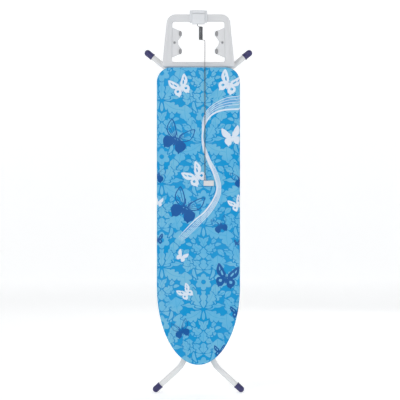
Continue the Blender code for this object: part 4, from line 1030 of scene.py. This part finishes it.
def make_clamp():
    """A jaw over the bar, a block in front of it with a cap, and a rear wall for the screw."""
    front, back, roof = REST_FRONT - GAP, REST_BACK + GAP, REST_TOP_Z + GAP
    near, far = at_depth(front), at_depth(back)
    nearest, furthest = near - JAW_FRONT_WALL, far + JAW_BACK_WALL
    section = rounded([(nearest, CLAMP_JAW_Z, 0.001), (near, CLAMP_JAW_Z, 0.001), (near, roof, 0.0008),
                       (far, roof, 0.0008), (far, CLAMP_JAW_Z, 0.001), (furthest, CLAMP_JAW_Z, 0.001),
                       (furthest, CLAMP_TOP_Z, 0.003), (nearest, CLAMP_TOP_Z, 0.002)], 5)
    jaw = moved(slab([section], CLAMP_LENGTH, 0.0010), rotation=Matrix.Rotation(math.radians(90), 3, "Z"))
    deep, middle = front - CLAMP_FRONT, at_depth((front + CLAMP_FRONT) / 2)
    lower = rounded_box((BLOCK_LENGTH, deep, CLAMP_STEP_Z - CLAMP_BOTTOM_Z),
                        (0, middle, (CLAMP_STEP_Z + CLAMP_BOTTOM_Z) / 2), 0.0022)
    upper = rounded_box((BLOCK_LENGTH, deep + 0.0002, CLAMP_TOP_Z - CLAMP_STEP_Z - CLAMP_LIP),
                        (0, middle, (CLAMP_TOP_Z + CLAMP_STEP_Z + CLAMP_LIP) / 2), 0.0016)
    plug = turned([(0, 0.0006), (0.0011, 0.0006), (0.0016, 0.0002), (0.0020, -0.0004), (0, -0.0004)], 20)
    moved(plug, (PLUG_X, at_depth(CLAMP_FRONT - 0.0001), PLUG_Z), TURN_FRONT)
    new_piece("clamp_shell", joined([jaw, lower, upper, plug]), "white_plastic", "cord_clamp", "cord_clamp",
              material="clamp_plastic")
    knob = turned([(0, 0.0110), (0.0060, 0.0112), (0.0092, 0.0106), (0.0110, 0.0090), (0.0112, 0.0060),
                   (0.0110, 0.0036), (0.0094, 0.0022), (0.0040, 0.0020), (0.0030, 0.0014),
                   (0.0030, -0.0086), (0, -0.0086)], 72,
                  lambda angle: 1.0 - KNOB_WAIST * (1 + math.cos(KNOB_LOBES * angle)) / 2)
    moved(knob, (0, at_depth(back + KNOB_STAND), KNOB_Z), TURN_BACK)
    new_piece("thumb_knob", knob, "navy_plastic", "thumb_screw", "thumb_screw")


def make_mast():
    """A close-wound coil on its hook, with a straight wire and a clip for the cord."""
    pin = Vector((HOOK_X, at_depth(MAST_DEPTH), MAST_PIVOT_Z))
    foot = Vector((WIRE_X, at_depth(WIRE_DEPTH), COIL_BOTTOM_Z - 0.0075))
    path = [pin + HOOK_RADIUS * Vector((0, math.sin(math.radians(a)), math.cos(math.radians(a))))
            for a in range(-60, 181, 15)]
    path += [pin + Vector(step) for step in ((0, 0, -0.0075), (0.0004, 0, -0.0105), (0.0030, 0, -0.0135))]
    for step in range(COIL_TURNS * TURN_POINTS + 1):
        angle = math.pi + math.tau * step / TURN_POINTS
        height = COIL_TOP_Z + (COIL_BOTTOM_Z - COIL_TOP_Z) * step / (COIL_TURNS * TURN_POINTS)
        path.append((MAST_X + COIL_RADIUS * math.cos(angle), pin.y + COIL_RADIUS * math.sin(angle), height))
    path += [(MAST_X, pin.y - COIL_RADIUS, COIL_BOTTOM_Z - 0.0012),
             (MAST_X + 0.0070, pin.y - COIL_RADIUS, COIL_BOTTOM_Z - 0.0022),
             foot + Vector((-0.0030, 0, 0.0045)), foot + Vector((-0.0006, 0, 0.0030)), foot]
    new_piece("coil_spring", tube(path, WIRE_RADIUS * 0.96, 10), "spring_steel", "mast", "cord_spring")
    straight = [(WIRE_X, foot.y, foot.z + 0.0002 - (foot.z - WIRE_END_Z) * t) for t in np.linspace(0, 1, 24)]
    new_piece("mast_rod", tube(straight, WIRE_RADIUS, 14), "spring_steel", "mast", "mast_wire",
              material="bright_wire")
    y = foot.y - CLIP_FORWARD
    parts = [rounded_box((0.0170, CLIP_DEEP, CLIP_TALL), (CLIP_X - 0.0105, y, WIRE_END_Z), 0.0022)]
    for side in (-1, 1):
        parts.append(rounded_box((PRONG_LENGTH, PRONG_THICKNESS, CLIP_TALL),
                                 (CLIP_X + 0.0075, y + side * (CLIP_DEEP - PRONG_THICKNESS) / 2, WIRE_END_Z),
                                 0.0011))
        ridge = [(CLIP_X + 0.0165, y + side * 0.0026, WIRE_END_Z + end) for end in (-0.0085, 0.0085)]
        parts.append(tube(ridge, 0.0007, 10))
    new_piece("cord_clip_shell", joined(parts), "white_plastic", "mast", "cord_clip")


# --- legs ----------------------------------------------------------------------------------------

def leg_points(half_spacing, foot_x, flare):
    """Half a leg as (x, distance from its pivot), with a smooth bend."""
    bend_side = BEND_RADIUS * (1 - math.cos(flare))
    bend_end = LEG_REACH - (foot_x - half_spacing - bend_side) / math.tan(flare)
    bend_start = bend_end - BEND_RADIUS * math.sin(flare)
    line = [(half_spacing, distance)
            for distance in np.linspace(-TUBE_OVERHANG, bend_start, 12, endpoint=False)]
    line += [(half_spacing + BEND_RADIUS * (1 - math.cos(a)), bend_start + BEND_RADIUS * math.sin(a))
             for a in np.linspace(0, flare, 20)]
    x, distance = line[-1]
    end_x, end = foot_x - CAP_CUT * math.sin(flare), LEG_REACH - CAP_CUT * math.cos(flare)
    return line + [(x + (end_x - x) * t, distance + (end - distance) * t) for t in (0.33, 0.66, 1)]


def make_legs():
    for leg, foot_word, half_spacing, foot_x, flare, rungs, pivot_z, down in LEGS:
        body = f"{leg}_leg"
        slope = Matrix.Rotation(FOLD_ANGLE if down < 0 else -FOLD_ANGLE, 3, "X")
        pivot = Vector((0, at_depth(AXLE_DEPTH), pivot_z))
        line = leg_points(half_spacing, foot_x, flare)
        for word, side in SIDES.items():
            path = [pivot + slope @ Vector((side * x, 0, down * distance)) for x, distance in line]
            plug = turned([(0, 0.0011), (0.0080, 0.0010), (0.0093, 0.0004), (0.0093, -0.001),
                           (0, -0.001)], 32)
            moved(plug, path[0], (path[0] - path[1]).to_track_quat("Z", "Y").to_matrix())
            new_piece(f"{leg}_tube_{word}", joined([tube(path, TUBE_RADIUS, 32), plug]), "white_paint", body,
                      f"{leg}_leg_tube_{word}")
            foot = pivot + slope @ Vector((side * (line[-1][0] + CAP_CUT * math.sin(flare)), 0,
                                           down * LEG_REACH))
            out = slope @ Vector((side * math.sin(flare), 0, down * math.cos(flare)))
            cap = moved(foot_cap(), foot, out.to_track_quat("Z", "Y").to_matrix())
            new_piece(f"{foot_word}_cap_{word}", cap, "navy_rubber", body, f"{foot_word}_foot_cap_{word}")
        for word, distance in zip(("upper", "lower"), rungs):
            new_piece(f"{leg}_rung_{word}", rung(half_spacing, pivot, slope, down * distance), "white_paint",
                      body, f"{leg}_leg_rung_{word}")


def rung(half_spacing, pivot, slope, height):
    """A rung between a leg's tubes, flared at its ends and welded there."""
    half = half_spacing - TUBE_RADIUS + 0.0015
    across = np.linspace(-half, half, 17)
    points = [pivot + slope @ Vector((x, 0, height)) for x in across]
    radii = [RUNG_RADIUS + RUNG_FLARE * max(0.0, (abs(x) - half + FLARE_LENGTH) / FLARE_LENGTH) ** 2
             for x in across]
    beads = [weld(pivot + slope @ Vector((side * (half - 0.0008), 0, height)), slope) for side in (-1, 1)]
    return joined([tube(points, radii, 24), *beads])


def weld(centre, slope):
    """A rippled bead round the end of a rung."""
    angles = [math.tau * i / 72 for i in range(72)]
    path = [centre + slope @ (WELD_RADIUS * Vector((0, math.cos(a), math.sin(a)))) for a in angles]
    return tube(path, [0.0013 + 0.0003 * math.cos(WELD_RIPPLES * a) for a in angles], 8, closed=True)


def foot_cap():
    """A bullet-shaped rubber cap about Z, with a collar and two shallow grooves."""
    length = FOOT_LENGTH - FOOT_RADIUS
    profile = dome(FOOT_RADIUS, FOOT_RADIUS, step=9)[:-1]
    for groove in (0.35, 0.62):
        z = -length * groove
        profile += [(FOOT_RADIUS, z + 0.0010), (FOOT_RADIUS - 0.0004, z + 0.0004),
                    (FOOT_RADIUS - 0.0004, z - 0.0004), (FOOT_RADIUS, z - 0.0010)]
    profile += [(FOOT_RADIUS, -length + 0.0042), (FOOT_RADIUS + 0.0005, -length + 0.0034),
                (FOOT_RADIUS + 0.0005, -length + 0.0008), (FOOT_RADIUS, -length),
                (TUBE_RADIUS + 0.0003, -length), (TUBE_RADIUS + 0.0003, -0.0037), (0, -0.0037)]
    return turned(profile, 40)


# --- mechanism -----------------------------------------------------------------------------------

def make_grip():
    """The lever's moulded grip: a rounded bar with finger ribs."""
    centre = Vector((0, at_depth(AXLE_DEPTH) + GRIP_BEHIND, SLIDE_Z - GRIP_BELOW))
    body = rounded_box(GRIP_SIZE, centre, 0.0036, 5)
    ribs = [tube([centre + Vector((x, 0.0040, z)) for x in (-0.0165, 0.0165)], 0.0009, 10)
            for z in np.linspace(-0.0090, 0.0030, 5)]
    new_piece("grip_shell", joined([body, *ribs]), "navy_plastic", "lever", "lever_grip")


def make_rivets():
    """Rivets that hold the rails and the rack on the mesh."""
    profile = dome(0.0030, 0.0014) + [(0.0030, -0.0006), (0, -0.0006)]
    rivets = [moved(turned(profile, 20), (side * RIVET_X, at_depth(0.0028), z), TURN_BACK)
              for side in SIDES.values() for z in RIVET_HEIGHTS]
    new_piece("rail_rivets", joined(rivets), "zinc_plate", "board", material="dull_steel")


def finish_cad_nodes():
    """Gives every carried-over CAD node its detailed material."""
    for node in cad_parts.values():
        for material_slot in node.material_slots:
            material_slot.material = MATERIALS[material_slot.material.name.split(".")[0]]


# --- stage ---------------------------------------------------------------------------------------

def make_stage():
    """A pale floor that sweeps up into a wall all round, far outside every camera."""
    shader = Shader("studio_white", (240, 241, 242), 0.9)
    distance = shader.add("ShaderNodeVectorMath", {0: shader.place}, operation="LENGTH").outputs["Value"]
    shader.set("Emission Color", linear((250, 250, 250)))
    shader.set("Emission Strength", shader.span(distance, 1.5, 5.0, 0.35, 0.42))
    shader.bump(shader.noise(3.0, 2.0), 0.002, 0.1)
    flat, sweep, top = FLOOR_RADIUS, WALL_SWEEP, WALL_TOP
    profile = [(0.0, 0.0), (2.0, 0.0), (6.0, 0.0), (flat, 0.0)]
    profile += [(flat + sweep * math.sin(a), sweep * (1 - math.cos(a)))
                for a in np.linspace(0, math.pi / 2, 16)[1:]]
    profile += [(flat + sweep, top)]
    count = 96
    vertices = [(r * math.cos(math.tau * i / count), r * math.sin(math.tau * i / count), z)
                for r, z in profile for i in range(count)]
    faces = ring_faces(len(profile), count) + [tuple(range(count))]
    mesh = mesh_from(vertices, faces, merge=1e-5, outwards=False)
    mesh.shade_smooth()
    mesh.materials.append(shader.material)
    studio = linked("studio", mesh)
    studio.location.z = -0.0004


def make_lights():
    for name, (place, size, power) in LIGHTS.items():
        data = bpy.data.lights.new(name, "AREA")
        data.shape = "RECTANGLE"
        data.size, data.size_y = size
        data.energy = power
        light = linked(name, data)
        light.location = place
        light.rotation_euler = (Vector(place) - Vector(LIGHT_TARGET)).to_track_quat("Z", "Y").to_euler()
        light.visible_camera = False
    world = bpy.data.worlds.new("studio")
    bpy.context.scene.world = world
    world.use_nodes = True
    background = world.node_tree.nodes["Background"]
    background.inputs["Color"].default_value = (1.0, 1.0, 1.0, 1.0)
    background.inputs["Strength"].default_value = WORLD_STRENGTH


def make_camera():
    data = bpy.data.cameras.new("camera")
    data.sensor_width = 36
    data.lens = 36 * CAMERA_DISTANCE / VIEW_HEIGHT
    data.clip_end = 100
    camera = linked("camera", data)
    camera.location = (VIEW_CENTRE[0], at_depth(COVER_FRONT) - CAMERA_DISTANCE, VIEW_CENTRE[1])
    camera.rotation_euler = (math.radians(90), 0, 0)
    bpy.context.scene.camera = camera
    bpy.context.scene.view_settings.view_transform = "Standard"


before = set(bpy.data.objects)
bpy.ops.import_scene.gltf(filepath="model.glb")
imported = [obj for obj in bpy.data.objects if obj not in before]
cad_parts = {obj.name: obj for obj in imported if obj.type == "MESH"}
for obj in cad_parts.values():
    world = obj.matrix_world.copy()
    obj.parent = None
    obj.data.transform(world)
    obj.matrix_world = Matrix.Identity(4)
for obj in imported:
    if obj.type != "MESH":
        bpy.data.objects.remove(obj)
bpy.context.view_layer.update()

# Every material slot of the record by its name, and three finishes that only some pieces have
MATERIALS = {
    "cover_cloth": printed_cotton("printed_cotton"),
    "foam": felt("felt"),
    "painted_steel": painted("grey_powder_coat", (206, 208, 210), (196, 198, 200), 0.45),
    "white_paint": painted("white_powder_coat", (216, 216, 216), (208, 209, 210)),
    "white_plastic": moulded("white_plastic", (204, 205, 207), (197, 198, 201)),
    "clamp_plastic": moulded("clamp_plastic", (208, 210, 213), (200, 203, 207)),
    "grey_rubber": rubber("grey_silicone", (136, 137, 139), (152, 153, 154)),
    "navy_rubber": rubber("navy_cap", (40, 37, 90), (54, 51, 104), 0.42),
    "navy_plastic": moulded("navy_plastic", (42, 39, 90), (52, 49, 102), 0.36),
    "nylon": moulded("natural_nylon", (212, 212, 208), (200, 200, 196), 0.48),
    "zinc_plate": plated("zinc_plate", (206, 208, 212), (184, 187, 192)),
    "dull_steel": plated("dull_steel", (168, 170, 172), (140, 142, 145), 0.42),
    "spring_steel": plated("spring_steel", (128, 130, 133), (98, 100, 103), 0.36),
    "bright_wire": plated("bright_wire", (104, 102, 104), (84, 83, 85), 0.42),
}
MATERIALS["elastic"] = MATERIALS["foam"]

make_camera()
finish_cad_nodes()
felt_pad = make_pad()
make_cover(felt_pad)
make_mesh_panel()
make_rest()
make_clamp()
make_mast()
make_legs()
make_grip()
make_rivets()
make_lights()
make_stage()
